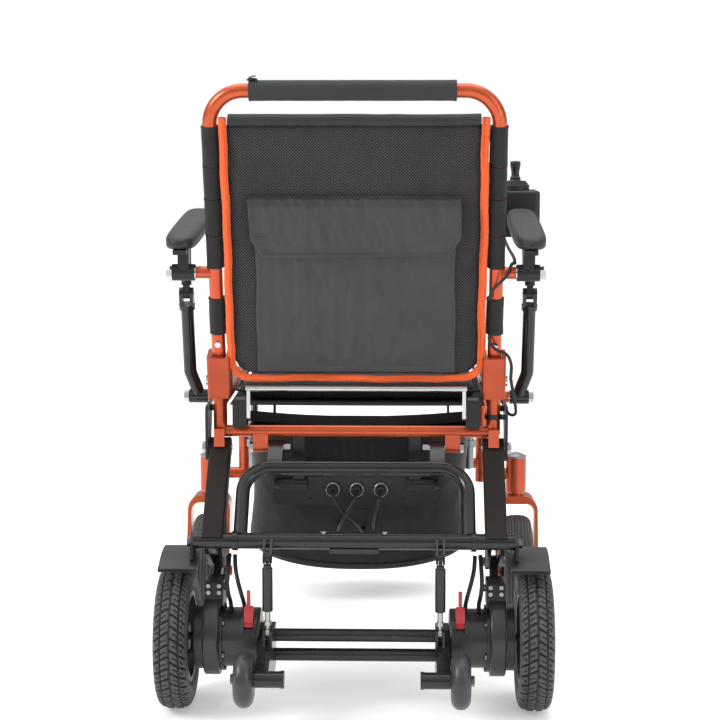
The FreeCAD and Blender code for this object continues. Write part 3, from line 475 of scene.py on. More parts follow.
print("finishes made:", len(finishes))

# The finish of each CAD node that stays; a name without a side stands for its left and right nodes.
nodeFinish = {
    "orangeTube": ["main_frame", "back_frame"],
    "orangeBlock": ["back_hinge_blocks"],
    "orangeFork": ["caster_fork"],
    "blackSatin": ["rear_brackets", "gearbox_clamps", "arm_bracket"],
    "strutGrey": ["seat_struts"],
    "legBlack": ["rear_legs"],
    "blackGloss": ["rear_crosstube", "u_tube", "antitip_frame", "damper_cylinder", "arm_post"],
    "guardPlastic": ["mudguards"],
    "motorBlack": ["gearboxes", "motors"],
    "leadRubber": ["frame_leads", "motor_leads", "joystick_lead_back", "joystick_lead_arm"],
    "chrome": ["frame_bolts", "back_bolts", "release_bar"],
    "boltHead": ["rear_frame_bolts", "axle_bolts"],
    "steel": ["damper_rod", "joystick_gimbal"],
    "rimGrey": ["drive_rim", "caster_rim"],
    "leverRed": ["brake_lever"],
    "tipRubber": ["antitip_wheel"],
    "controlPlastic": ["control_box"],
    "buttonGreen": ["power_button"],
    "controllerCase": ["controller_box"],
    "batteryCase": ["battery_pack"],
    "plateBlack": ["footplate"],
}
for finish, names in nodeFinish.items():
    for name in names:
        for word in ([name] if name in nodes else [name + "_left", name + "_right"]):
            nodes[word].data.materials.clear()
            nodes[word].data.materials.append(finishes[finish])


def own(piece, finish, body, replaced=()):
    piece.data.materials.clear()
    piece.data.materials.append(finishes[finish])
    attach(piece, body)
    if replaced:
        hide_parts(*replaced)
    return piece


# Camera and light
camera = dict(place=(75.0, -2600.0, 850.0), yaw=-0.026, pitch=math.radians(7.1), lens=1782 / 720 * 36.0)


def addCamera(look):
    data = bpy.data.cameras.new("camera")
    data.lens = look["lens"]
    data.sensor_width = 36.0
    data.clip_end = 60
    eye = linked("camera", data)
    eye.location = place(*look["place"])
    eye.rotation_euler = (math.pi / 2 - look["pitch"], 0, -look["yaw"])
    bpy.context.scene.camera = eye


def addSoftbox(name, spot, aim, size, power):
    data = bpy.data.lights.new(name, "AREA")
    data.shape = "RECTANGLE"
    data.size, data.size_y = size
    data.energy = power
    lamp = linked(name, data)
    lamp.location = spot
    direction = np.array(aim, float) - np.array(spot, float)
    lamp.rotation_euler = Vector(direction).to_track_quat("-Z", "Y").to_euler()


addCamera(camera)
addSoftbox("keyLight", (-2.7, -1.5, 2.2), (0, 0, 0.45), (1.0, 1.4), 62)
addSoftbox("fillLight", (2.6, -2.0, 1.2), (0, 0, 0.45), (0.6, 2.0), 18)
addSoftbox("topLight", (0, 0.4, 3.2), (0, 0, 0), (2.8, 2.8), 42)
world = bpy.data.worlds.new("studio")
world.use_nodes = True
skyTree = world.node_tree
plainSky = skyTree.nodes["Background"]
plainSky.inputs[0].default_value = (1.0, 1.0, 1.0, 1)
# what reflects and lights is darker at the horizon than overhead, so bright metal has contrast
direction = addNode(skyTree, "ShaderNodeTexCoord")
height = addNode(skyTree, "ShaderNodeSeparateXYZ", {0: direction.outputs["Generated"]})
rise = remap(skyTree, height.outputs[2], 0.05, 0.7, 0.25, 1.05)
softSky = addNode(skyTree, "ShaderNodeBackground", {"Color": (1, 1, 1, 1), "Strength": rise})
seen = addNode(skyTree, "ShaderNodeLightPath")
skyMix = addNode(skyTree, "ShaderNodeMixShader", {0: seen.outputs["Is Camera Ray"], 1: softSky.outputs[0],
        2: plainSky.outputs[0]})
skyTree.links.new(skyMix.outputs[0], skyTree.nodes["World Output"].inputs[0])
bpy.context.scene.world = world
bpy.context.scene.view_settings.view_transform = "Standard"

# the floor: a wide level sheet, as pale as the open studio behind it
floorLevel = -0.0005  # just under the tyres
span = np.linspace(-14, 14, 15)
floorPoints = np.stack([np.stack([np.full(15, x), span, np.full(15, floorLevel)], -1) for x in span * 2], 0)
floor = gridPiece("floor", floorPoints)
floorMaterial, floorTree, floorShader = newMaterial("paleFloor", dict(base=(0.92, 0.92, 0.92)))
floorSpot = addNode(floorTree, "ShaderNodeTexCoord")
floorNoise = addNode(floorTree, "ShaderNodeTexNoise", {"Vector": floorSpot.outputs["Object"], "Scale": 3.0})
floorTree.links.new(mixColour(floorTree, floorNoise.outputs[0], (0.93, 0.93, 0.93), (0.95, 0.95, 0.95)),
                    floorShader.inputs["Base Color"])
floorShader.inputs["Roughness"].default_value = 0.9
floorShader.inputs["Emission Color"].default_value = (1, 1, 1, 1)
floorShader.inputs["Emission Strength"].default_value = 0.32
floor.data.materials.append(floorMaterial)
print("camera, lights and floor set")

# Tyres
driveTyre = dict(x=267, y=0, radius=107.5, halfWidth=25.0, rim=68.0, steps=648, ringPoints=76, pitches=38, groove=2.6,
                 depth=3.2)
casterTyre = dict(x=268, y=440, radius=100.0, halfWidth=25.0, rim=62.0, steps=200, ringPoints=96)


# Closed superellipse section; share of the points lie on the outer half. Returns across, radius, and arc distance
# from the crown.
def tyreSection(look, share=0.72, power=2.7):
    count = look["ringPoints"]
    outer = int(count * share)
    turn = np.concatenate([np.linspace(-0.12 * np.pi, 1.12 * np.pi, outer, endpoint=False),
                           np.linspace(1.12 * np.pi, 1.88 * np.pi, count - outer, endpoint=False)])
    middle = (look["rim"] + look["radius"]) / 2
    half = (look["radius"] - look["rim"]) / 2
    across = look["halfWidth"] * bent(np.cos(turn), 2 / power)
    radius = middle + half * bent(np.sin(turn), 2 / power)
    step = np.hypot(np.diff(across, append=across[:1]), np.diff(radius, append=radius[:1]))
    arc = np.concatenate([[0], np.cumsum(step)[:-1]])
    crown = arc[np.argmin(np.abs(turn - np.pi / 2))]
    return across, radius, arc - crown


# 1 inside a band of the given width centred on whole phases, 0 outside, with soft sides.
def pulse(phase, width, soft):
    away = np.abs(phase - np.round(phase))
    return 1 - ease(away, width / 2, width / 2 + soft)


# Groove depth: a zigzag centre groove, slanted blocks either side in a V, and short cuts in the shoulders.
def driveTread(arc, turn, look):
    pitch = 2 * np.pi * look["radius"] / look["pitches"]
    along = turn * look["radius"] / pitch
    side = np.sign(arc)
    far = np.abs(arc)
    zigzag = 1.4 * np.abs(2 * (along - np.floor(along)) - 1) - 0.7
    centre = 1 - ease(np.abs(arc - zigzag), 0.9, 1.9)
    slant = along + far / pitch * 0.62 + 0.5 * (side > 0)
    wide = look["groove"] / pitch
    crossing = pulse(slant, wide, 0.05) * ease(far, 0.8, 2.0) * (1 - ease(far, 26, 29))
    sipe = pulse(slant + 0.5, wide * 0.55, 0.04) * ease(far, 4.0, 5.0) * (1 - ease(far, 11.5, 12.5)) * 0.7
    dots = pulse(slant + 0.5, 0.15, 0.08) * ease(far, 16.5, 17.5) * (1 - ease(far, 20, 21)) * 0.6
    ringGroove = (1 - ease(np.abs(far - 14 - 0.8 * zigzag), 0.8, 1.7)) * 0.9
    tread = np.maximum.reduce([centre, crossing, sipe, dots, ringGroove]) * look["depth"] * (1 - ease(far, 27, 29))
    wall = 0.35 * pulse(along * 3, 0.4, 0.2) * ease(far, 31, 32) * (1 - ease(far, 37, 38))
    bead = 0.6 * (1 - ease(np.abs(far - 41), 0.6, 1.4))
    return tread - wall - bead


# Straight grooves round the tyre every 5.5 mm, and a raised line on each wall.
def ribTread(arc, turn, look):
    far = np.abs(arc)
    return pulse(arc / 5.5 + 0.5, 0.22, 0.14) * 1.5 * (1 - ease(far, 19, 20)) - 0.5 * (1
            - ease(np.abs(far - 34), 0.6, 1.4))


def makeTyre(name, look, tread, side, body, node):
    across, radius, arc = tyreSection(look)
    turn = turns(look["steps"])
    cut = tread(arc[None, :], turn[:, None], look)
    nextAcross, nextRadius = np.roll(across, -1) - np.roll(across, 1), np.roll(radius, -1) - np.roll(radius, 1)
    size = np.hypot(nextAcross, nextRadius)
    outAcross, outRadius = nextRadius / size, -nextAcross / size
    u = across[None, :] - outAcross[None, :] * cut
    r = radius[None, :] - outRadius[None, :] * cut
    y, z = look["y"] + r * np.sin(turn)[:, None], look["radius"] + r * np.cos(turn)[:, None]
    points = place(side * look["x"] + u, y, z)
    piece = gridPiece(name, points, closeU=True, closeV=True)
    # groove depth per point, which the tyre finish turns into painted shade in the grooves
    grooveShade = piece.data.attributes.new("groove", "FLOAT", "POINT")
    grooveShade.data.foreach_set("value", np.clip(np.broadcast_to(cut, points.shape[:2]) / 1.4, 0,
            1).astype(np.float32).ravel())
    return own(piece, "tyre", body, [node])


for side, word in ((-1, "left"), (1, "right")):
    makeTyre("driveTread_" + word, driveTyre, driveTread, side, "drive_wheel_" + word, "drive_tyre_" + word)
    makeTyre("casterTread_" + word, casterTyre, ribTread, side, "caster_wheel_" + word, "caster_tyre_" + word)
print("tyres made")


# Corner arcs joined by straight sides, as count points; radii are for the low corners and the high corners.
def roundedOutline(low, high, radii, count):
    (x0, y0), (x1, y1) = low, high
    parts = []
    for cx, cy, r, start in ((x1 - radii[1], y1 - radii[1], radii[1], 0),
            (x0 + radii[1], y1 - radii[1], radii[1], 90),
                             (x0 + radii[0], y0 + radii[0], radii[0], 180),
            (x1 - radii[0], y0 + radii[0], radii[0], 270)):
        a = np.radians(np.linspace(start, start + 90, 16))
        parts.append(np.stack([cx + r * np.cos(a), cy + r * np.sin(a)], 1))
    return spaced(np.concatenate(parts + [parts[0][:1]]), count, closed=True)


# Rings shrinking from the outline to its middle on both faces, round at the edge.
def pillow(name, outline, low, high, edge, where):
    middle = outline.mean(0)
    arc = np.linspace(-np.pi / 2, np.pi / 2, 9)
    half = (high - low) / 2
    reach = np.abs(outline - middle).max()
    face = np.linspace(0.02, 1 - edge / reach, 24)
    scale = np.concatenate([face[:-1], 1 - edge / reach + edge / reach * np.cos(arc), face[:-1][::-1]])
    height = np.concatenate([np.full(23, -half), half * np.sin(arc), np.full(23, half)])
    ring = middle + (outline - middle)[None] * scale[:, None, None]
    level = (low + high) / 2 + height[:, None] + 0 * ring[..., 0]
    return gridPiece(name, where(ring[..., 0], ring[..., 1], level), closeV=True, caps=True)


# Voxel remesh, then cloth under pressure with no gravity for 20 frames; no point moves further than cap metres.
def inflate(piece, voxel, cap, pressure=4.0):
    scene = bpy.context.scene
    remesh = piece.modifiers.new("remesh", "REMESH")
    remesh.mode = "VOXEL"
    remesh.voxel_size = voxel
    remesh.use_smooth_shade = True
    bpy.context.view_layer.update()
    mesh = bpy.data.meshes.new_from_object(piece.evaluated_get(bpy.context.evaluated_depsgraph_get()))
    piece.modifiers.clear()
    old = piece.data
    piece.data = mesh
    mesh.name = piece.name
    bpy.data.meshes.remove(old)
    count = len(mesh.vertices)
    rest = np.empty(count * 3)
    mesh.vertices.foreach_get("co", rest)
    cloth = piece.modifiers.new("cloth", "CLOTH")
    cloth.settings.quality = 4
    cloth.settings.use_pressure = True
    cloth.settings.uniform_pressure_force = pressure
    cloth.settings.effector_weights.gravity = 0
    cloth.settings.tension_stiffness = 40
    cloth.settings.compression_stiffness = 40
    for step in range(1, 21):
        scene.frame_set(step)
    moved = np.empty(count * 3)
    result = piece.evaluated_get(bpy.context.evaluated_depsgraph_get())
    result.data.vertices.foreach_get("co", moved)
    piece.modifiers.clear()
    scene.frame_set(1)
    shift = (moved - rest).reshape(-1, 3)
    far = np.linalg.norm(shift, axis=1)[:, None]
    shift *= cap * np.tanh(far / cap) / np.maximum(far, 1e-9)
    mesh.vertices.foreach_set("co", (rest.reshape(-1, 3) + shift).ravel())
    mesh.update()
    mesh.shade_smooth()
    softer = piece.modifiers.new("smooth", "SUBSURF")
    softer.levels = softer.render_levels = 1
    return piece


backPad = dict(halfWidth=190.0, low=8.0, high=411.0, radii=(34.0, 14.0), rear=-9.0, front=11.0, edge=8.0, cap=0.0045)
backOutline = roundedOutline((-backPad["halfWidth"], backPad["low"]), (backPad["halfWidth"], backPad["high"]),
        backPad["radii"], 160)
backCushion = pillow("backCushion", backOutline, backPad["rear"], backPad["front"], backPad["edge"], backPlace)
inflate(backCushion, 0.006, backPad["cap"])
own(backCushion, "airMesh", "backrest", ["back_cushion"])

seatPad = dict(halfWidth=187.0, back=140.0, front=455.0, radii=(14.0, 22.0), low=449.0, high=472.0, edge=10.0,
               cap=0.0055)
seatOutline = roundedOutline((-seatPad["halfWidth"], seatPad["back"]), (seatPad["halfWidth"], seatPad["front"]),
        seatPad["radii"], 160)
seatCushion = pillow("seatCushion", seatOutline, seatPad["low"], seatPad["high"], seatPad["edge"], place)
inflate(seatCushion, 0.006, seatPad["cap"])
own(seatCushion, "seatCloth", "chair_frame", ["seat_cushion"])
print("cushions made")


# Short threads end to end along a line: each is five rings of six, thin at its ends and arched in the middle.
def dashRow(name, points, outward, pitch, length, radius):
    spots = spaced(np.asarray(points, float), step=pitch)
    ahead = np.gradient(spots, axis=0)
    ahead /= np.linalg.norm(ahead, axis=1)[:, None]
    out = np.broadcast_to(np.asarray(outward, float), spots.shape)
    out = out - (out * ahead).sum(1)[:, None] * ahead
    out /= np.linalg.norm(out, axis=1)[:, None]
    side = np.cross(ahead, out)
    t = np.array([-1, -0.75, 0, 0.75, 1])
    width = np.array([0.25, 0.8, 1.0, 0.8, 0.25]) * radius
    rise = np.array([-1.0, -0.2, 0.35, -0.2, -1.0]) * radius
    angle = turns(6)
    core = spots[:, None] + ahead[:, None] * (t * length / 2)[None, :, None] + out[:, None] * rise[None, :, None]
    ring = side[:, None, None] * np.cos(angle)[None, None, :, None] + out[:, None, None] * np.sin(angle)[None, None,
            :, None]
    points = core[:, :, None] + ring * width[None, :, None, None]
    i, j = np.meshgrid(np.arange(4), np.arange(6), indexing="ij")
    quads = np.stack([i * 6 + j, (i + 1) * 6 + j, (i + 1) * 6 + (j + 1) % 6, i * 6 + (j + 1) % 6], -1).reshape(-1,
            4)[:, ::-1]
    starts = np.arange(len(spots)) * 30
    faces = (quads[None] + starts[:, None, None]).reshape(-1, 4).tolist()
    ends = np.concatenate([np.arange(6)[None], (24 + np.arange(6))[::-1][None]])
    faces += (ends[None] + starts[:, None, None]).reshape(-1, 6).tolist()
    mesh = bpy.data.meshes.new(name)
    mesh.from_pydata(points.reshape(-1, 3).tolist(), [], faces)
    mesh.uv_layers.new(name="UVMap")
    mesh.shade_smooth()
    return linked(name, mesh)


rearward = np.array([0.0, -math.cos(recline), -math.sin(recline)])
binding = dict(inset=6.0, halfWidth=6.0, halfDepth=4.2, n=-11.2, low=3.0, high=414.0, halfSpan=194.0, radius=36.0)


# Down one side, round the bottom corner, along the bottom and up the other side, as x and s.
def bindingLine(inset, count=420):
    r = binding["radius"] - inset
    w, low = binding["halfSpan"] - inset, binding["low"] + inset
    a = np.radians(np.linspace(180, 270, 24))
    left = np.stack([-w + r + r * np.cos(a), low + r + r * np.sin(a)], 1)
    right = left[::-1] * [-1, 1]
    line = np.concatenate([[[-w, binding["high"]]], left, right, [[w, binding["high"]]]])
    even = np.linspace(0, lengths(line)[-1], count)
    x, s = spaced(line, count).T
    wave = 0.7 * np.sin(even / 37.0) + 0.5 * np.sin(even / 13.0 + 1.0)
    return x + wave * np.sign(x) * (s > 50), s + wave * (s < 50)


bx, bs = bindingLine(binding["inset"])
bindingPath = backPlace(bx, bs, binding["n"] + 0.4 * np.sin(np.arange(len(bx)) / 9.0))
edging = tube("backEdging", bindingPath, binding["halfWidth"] / 1000 * (1 + 0.02 * np.sin(np.arange(len(bx)) * 0.9)),
              sides=16,
              flatten=binding["halfDepth"] / binding["halfWidth"], lift=rearward)
own(edging, "pipingOrange", "backrest")
zx, zs = bindingLine(binding["inset"] + 2.2, 900)
zigzag = np.where(np.arange(900) % 3 == 0, 1.3, -1.3)
inner = np.stack([np.gradient(zs), -np.gradient(zx)], 1)
inner /= np.linalg.norm(inner, axis=1)[:, None]
zigzagThread = tube("backEdgingThread", backPlace(zx + inner[:, 0] * zigzag, zs + inner[:, 1] * zigzag,
        binding["n"] - 3.9), 0.00045, sides=5, lift=rearward)
own(zigzagThread, "pipingOrange", "backrest")

topBand = dict(halfSpan=181.5, s=407.5, halfHigh=7.5, halfDeep=15.0, n=1.0)
across = np.linspace(-topBand["halfSpan"], topBand["halfSpan"], 90)
bandPath = backPlace(across, topBand["s"] + 0.8 * swell(across, 0, 3, longest=160), topBand["n"])
topEdge = tube("backTopBand", bandPath, topBand["halfHigh"] / 1000, sides=28,
               flatten=topBand["halfDeep"] / topBand["halfHigh"], lift=rearward)
own(topEdge, "neoprene", "backrest")
seatEdge = tube("seatEdging", place(*roundedOutline((-190, 137), (190, 458), (14, 22), 300).T, 461.0), 0.0024,
                sides=10, closed=True)
own(seatEdge, "blackWeave", "chair_frame")
print("edging made")


# Back pocket
pocket = dict(halfWidth=147.5, low=21.0, high=292.0, hem=9.0, sag=4.5, threadX=142.5, threadLift=0.75)
flap = dict(rows=((297.0, -155.0, 154.5), (238.0, -153.0, 155.0), (208.0, -136.0, 137.0)), hem=8.0, threadLift=28.5)


def sheetPiece(name, points, thickness):
    piece = gridPiece(name, points)
    wall = piece.modifiers.new("thickness", "SOLIDIFY")
    wall.thickness = thickness
    wall.offset = 0
    return piece


# How far the pocket stands behind the cushion: a soft belly, upright creases and a sewn hem.
def pocketHeight(x, s):
    u = np.abs(x) / pocket["halfWidth"]
    v = (s - pocket["low"]) / (pocket["high"] - pocket["low"])
    belly = (1 - u ** 5) * (1 - (1 - v) ** 8) * pocket["sag"]
    creases = 3.4 * swell(x, s * 0.16, 11, longest=80) + 2.0 * swell(x * 0.9, s * 0.4, 12, longest=45)
    rim = np.minimum(pocket["halfWidth"] - np.abs(x), s - pocket["low"])
    hem = 0.9 * (1 - ease(rim, pocket["hem"] - 1.5, pocket["hem"]))
    return 15.0 + belly + creases * (1 - u ** 4) * ease(rim, 2, 30) + hem


gx, gs = np.meshgrid(np.linspace(-pocket["halfWidth"], pocket["halfWidth"], 190),
                     np.linspace(pocket["low"], pocket["high"], 170), indexing="ij")


# The pocket's sides wander a little in and out.
def wobble(s):
    return 1.0 * np.sin(s / 41) + 0.6 * np.sin(s / 17 + 1)


bodyX = gx + wobble(gs) * (gx / pocket["halfWidth"])
pocketBody = sheetPiece("pocketBody", backPlace(bodyX, gs, -pocketHeight(gx, gs)), 0.0012)
own(pocketBody, "pocketCoat", "backrest", ["back_pocket"])

s = np.linspace(299, 208, 90)
level = [row[0] for row in flap["rows"]][::-1]
leftEdge = np.interp(s, level, [row[1] for row in flap["rows"]][::-1])
rightEdge = np.interp(s, level, [row[2] for row in flap["rows"]][::-1])
u = np.linspace(0, 1, 190)[:, None]
fx = leftEdge + (rightEdge - leftEdge) * u + 0 * s
fs = s + 0 * u
fs = fs + 1.2 * np.sin(fx / 60 + 0.5) * ease(240 - fs, 0, 30)
rim = np.minimum.reduce([fx - leftEdge, rightEdge - fx, fs - 208 + 0 * fx, 0.62 * (fx - leftEdge) + 100 * (fs > 240)])
bulge = 3.6 * swell(fx, fs * 0.2, 21, longest=80) + 2.2 * swell(fx, fs * 0.7, 22, longest=45)
lift = 23.5 + 3.2 * ease(297 - fs, 0, 14) + bulge * ease(rim, 3,
        25) * 0.8 + 0.9 * (1 - ease(rim, flap["hem"] - 1.4, flap["hem"]))
lift = np.where(fs > 294, 14.5 + (lift - 14.5) * (1 - ease(fs, 294, 299)), lift)
flapBody = sheetPiece("pocketFlap", backPlace(fx, fs, -lift), 0.0012)
own(flapBody, "pocketCoat", "backrest")


def hemThread(name, xs, ss, heights):
    return own(dashRow(name, backPlace(xs, ss, -np.asarray(heights, float)), rearward, 0.0036, 0.0026, 0.00042),
               "pocketCoat", "backrest")


t = np.linspace(0, 1, 60)
sideS = 26 + (286 - 26) * t
threads = []
for way in (-1, 1):
    threadX = np.full(60, way * pocket["threadX"]) + wobble(sideS) * way
    threads.append(hemThread("pocketThread", threadX, sideS,
            pocketHeight(np.full(60, way * pocket["threadX"]), sideS) + pocket["threadLift"]))
lowX = pocket["threadX"] * (2 * t - 1)
threads.append(hemThread("pocketThread", lowX, np.full(60, 26.0),
        pocketHeight(lowX, np.full(60, 26.0)) + pocket["threadLift"]))
pocketThreads = joined("pocketThreads", threads)
flapLine = np.array([(-150, 292), (-148.5, 240), (-133.5, 213), (134.5, 213), (150, 240), (149.5, 292)], float)
threadX, threadS = spaced(flapLine, 260).T
flapThread = hemThread("flapThread", threadX, threadS, np.full(260, flap["threadLift"]))
print("pocket made")

# Push handle grip and back tube sleeves
grip = dict(left=-150.0, right=146.0, s=450.4, radius=14.6, bandWidth=4.0, bandHeight=0.5)
gripX = np.concatenate([[grip["left"] - 0.05, grip["left"]],
                        np.linspace(grip["left"] + 0.4, grip["right"] - 0.4, 240),
                        [grip["right"], grip["right"] + 0.05]])
around = turns(48)
radius = np.full((len(gripX), 48), grip["radius"])
radius += 0.25 * swell(gripX[:, None], around[None, :] * 15, 31, longest=90)
for start, stop in ((grip["left"], grip["left"] + grip["bandWidth"]),
                    (grip["right"] - grip["bandWidth"], grip["right"])):
    inside = (gripX >= start) & (gripX <= stop)
    radius[inside] += grip["bandHeight"]
radius[[0, -1]] = 10.8
radius[[1, -2]] = 14.2
gripPiece = tube("handleGrip", backPlace(gripX, grip["s"], 0), radius / 1000, sides=48, lift=(0, 0.2, 1))
own(gripPiece, "neoprene", "backrest", ["handle_grip"])
pull = [(-150, 14.8, 0.0), (-148, 16.4, 0.0), (-146, 17.2, 0.0), (-142, 17.4, 0.0), (-137, 16.6, 0.0)]
pullPath = backPlace(*np.array([(x, grip["s"] + s, n - 2) for x, s, n in pull]).T)
zipSlider = tube("gripZipSlider", smoothLine(pullPath, 24),
                 np.interp(np.linspace(0, 1, 24), [0, 0.2, 0.8, 1], [0.0016, 0.0028, 0.0026, 0.0012]), sides=12,
                 flatten=0.7)
tabPath = backPlace(*np.array([(-152, grip["s"] + 15.5, -2), (-149, grip["s"] + 18.5, -2),
        (-145, grip["s"] + 21.5, -2), (-139.5, grip["s"] + 21.8, -2)]).T)
zipTab = tube("gripZipTab", smoothLine(tabPath, 20), 0.0021, sides=10, flatten=0.45)
own(joined("gripZip", [zipSlider, zipTab]), "blackSatin", "backrest")
teethX = np.linspace(-146, 142, 60)
own(dashRow("gripZipTeeth", backPlace(teethX, grip["s"] + 14.9, 0 * teethX), backPlace(0, 1, 0) - backPlace(0, 0, 0),
            0.0022, 0.0015, 0.0008), "blackSatin", "backrest")

sleeve = dict(loops=((79.0, 136.0), (184.2, 235.0), (236.2, 290.4), (291.6, 339.8), (341.0, 399.0)), radius=12.4,
              web=1.5, hem=3.0)


# Round the tube, drawn out to a web towards the cushion by cos^7; hems stand out at both ends.
def sleeveLoop(name, side, low, high, seed):
    s = np.concatenate([[low, low], np.linspace(low + 0.4, high - 0.4, 40), [high, high]])
    a = turns(56)
    toPad = np.clip(-np.cos(a) * side, 0, 1)
    edge = np.minimum(s - low, high - s)
    r = sleeve["radius"] + 0.55 * swell(s[:, None], a[None, :] * 14, seed,
            longest=60) + 0.45 * (1 - ease(edge, sleeve["hem"] - 0.6, sleeve["hem"]))[:, None]
    r = r + sleeve["web"] * toPad[None, :] ** 7
    r[[0, -1]] = 10.7
    r[[1, -2]] -= 0.5
    points = backPlace(side * sideX + r * np.cos(a)[None, :], s[:, None], r * np.sin(a)[None, :])
    return gridPiece(name, points, closeV=True, caps=True)


loops = [sleeveLoop("sleeve", side, low, high, 40 + k) for side in (-1, 1) for k,
         (low, high) in enumerate(sleeve["loops"])]
own(joined("backSleeves", loops), "blackWeave", "backrest", ["back_sleeves"])
print("grip and sleeves made")

# Seat sling and bag under the seat
sling = dict(halfWidth=196.2, back=112.5, front=441.5, z=442.6, sag=0.8)
gx, gy = np.meshgrid(np.linspace(-sling["halfWidth"], sling["halfWidth"], 90),
                     np.linspace(sling["back"], sling["front"], 80), indexing="ij")
dip = sling["sag"] * (1 - (gx / sling["halfWidth"]) ** 2)
slingPiece = sheetPiece("seatSling", place(gx, gy, sling["z"] - dip), 0.0014)
own(slingPiece, "blackWeave", "chair_frame", ["seat_sling"])

bag = dict(halfWidth=176.0, back=158.0, front=328.0, top=392.0, edgeFloor=203.0, midFloor=171.0, corner=4.5)


# The floor hangs lowest in the middle: z = mid + (edge - mid) |x / halfWidth|^2.4.
def bagFloor(x):
    return bag["midFloor"] + (bag["edgeFloor"] - bag["midFloor"]) * np.abs(x / bag["halfWidth"]) ** 2.4


a = turns(240)
down = np.linspace(0, 1, 46)[:, None]
inward = np.linspace(1, 0.02, 34)[1:, None]
middleY, halfY = (bag["back"] + bag["front"]) / 2, (bag["front"] - bag["back"]) / 2
ringX = bag["halfWidth"] * bent(np.cos(a), 2 / bag["corner"])
ringY = halfY * bent(np.sin(a), 2 / bag["corner"])
pinch = 1 - 0.04 * np.sin(np.pi * down) ** 2
tuck = np.sqrt(np.clip(1 - (np.clip(down - 0.9, 0, 1) / 0.1) ** 2 * 0.12, 0, 1))
wallX, wallY = ringX * pinch * tuck, ringY * pinch * tuck
crease = 3.0 * swell(ringX, down * 200 + 0.35 * ringX, 51, longest=150) + 1.4 * swell(ringX, down * 180, 52,
        longest=60)
wallY = wallY - np.sign(ringY) * np.abs(crease) * np.sin(np.pi * down) * 1.1
wallZ = bag["top"] + (bagFloor(wallX) - bag["top"]) * down
floorX, floorY = wallX[-1] * inward, wallY[-1] * inward
floorZ = bagFloor(floorX) - 1.5 * (1 - inward ** 2) + 1.0 * swell(floorX, floorY, 53, longest=120) * (1 - inward ** 4)
bagPoints = place(np.concatenate([wallX, floorX]), np.concatenate([middleY + wallY, middleY + floorY]),
                  np.concatenate([wallZ, floorZ]))
bagShell = gridPiece("bagShell", bagPoints, closeV=True, caps="last")
wall = bagShell.modifiers.new("thickness", "SOLIDIFY")
wall.thickness = 0.0014
wall.offset = -1
rimLine = place(ringX * 0.998, middleY + ringY * 0.998, np.full(240, bag["top"] - 3.0))
bagRim = tube("bagRim", rimLine, 0.0026, sides=10, closed=True)
seamX = np.linspace(-150, 150, 120)
bagSeam = tube("bagSeam", place(seamX, np.full(120, bag["back"] + 1.0), bagFloor(seamX) + 9.0), 0.0015, sides=8)
own(bagShell, "bagCloth", "chair_frame", ["storage_bag"])
own(joined("bagBinding", [bagRim, bagSeam]), "bagCloth", "chair_frame")
strapX = np.linspace(-190, 190, 140)[:, None]
strapV = np.linspace(0, 1, 12)[None, :]
strapZ = (409 + 9 * (strapX / 190) ** 2) + (15 + 2 * (strapX / 190) ** 2) * strapV
strapY = 118.5 + 0.6 * swell(strapX, strapZ, 54, longest=90)
rearStrap = sheetPiece("seatRearStrap", place(strapX + 0 * strapV, strapY, strapZ), 0.0022)
own(rearStrap, "blackWeave", "chair_frame")
print("sling and bag made")

# Arm pads
armPad = dict(inner=234.0, outer=283.0, back=0.0, front=303.0, low=684.0, high=708.5, slope=math.atan2(32, 300),
              sidePower=3.4, topPower=2.5, underPower=5.0)


# Rings across the pad, flat below and crowned above by a superellipse, drawn in and rounded at both ends.
def makeArmPad(name, side, body, node):
    t = np.linspace(-1, 1, 90)
    t = np.sign(t) * (1 - (1 - np.abs(t)) ** 1.5) * 0.9995
    a = turns(64)
    narrow = np.clip(1 - np.abs(t) ** 9, 0, 1) ** 0.42
    thin = np.clip(1 - np.abs(t) ** 14, 0, 1) ** 0.5
    half = (armPad["outer"] - armPad["inner"]) / 2 * (0.965 + 0.035 * np.cos(t * 2.2))
    x = bent(np.cos(a), 2 / armPad["sidePower"])
    z = bent(np.sin(a), np.where(np.sin(a) > 0, 2 / armPad["topPower"], 2 / armPad["underPower"]))
    px = (armPad["inner"] + armPad["outer"]) / 2 + x[None] * (half * narrow)[:, None]
    py = (armPad["back"] + armPad["front"]) / 2 + (armPad["front"] - armPad["back"]) / 2 * t[:, None] + 0 * px
    halfHigh = (armPad["high"] - armPad["low"]) / 2
    drop = 2.5 * np.clip(-t - 0.8, 0, 1) * 4
    pz = (armPad["high"] + armPad["low"]) / 2 + halfHigh * z[None] * thin[:, None] - (drop * 0.5)[:,
            None] * (z[None] > 0)
    pz = pz - 1.1 * (1 - ease(np.abs(x[None] * half[:, None]), 4, 12)) * (z[None] > 0.6) * (np.abs(t)[:, None] < 0.8)
    cosine, sine = math.cos(armPad["slope"]), math.sin(armPad["slope"])
    ahead, above = py - armPad["back"], pz - armPad["low"]
    points = place(side * px, armPad["back"] + ahead * cosine - above * sine,
                   armPad["low"] + ahead * sine + above * cosine)
    piece = gridPiece(name, points, closeV=True, caps=True)
    own(piece, "padFoam", body, [node])


for side, word in ((-1, "left"), (1, "right")):
    makeArmPad("armPad_" + word, side, "armrest_" + word, "arm_pad_" + word)

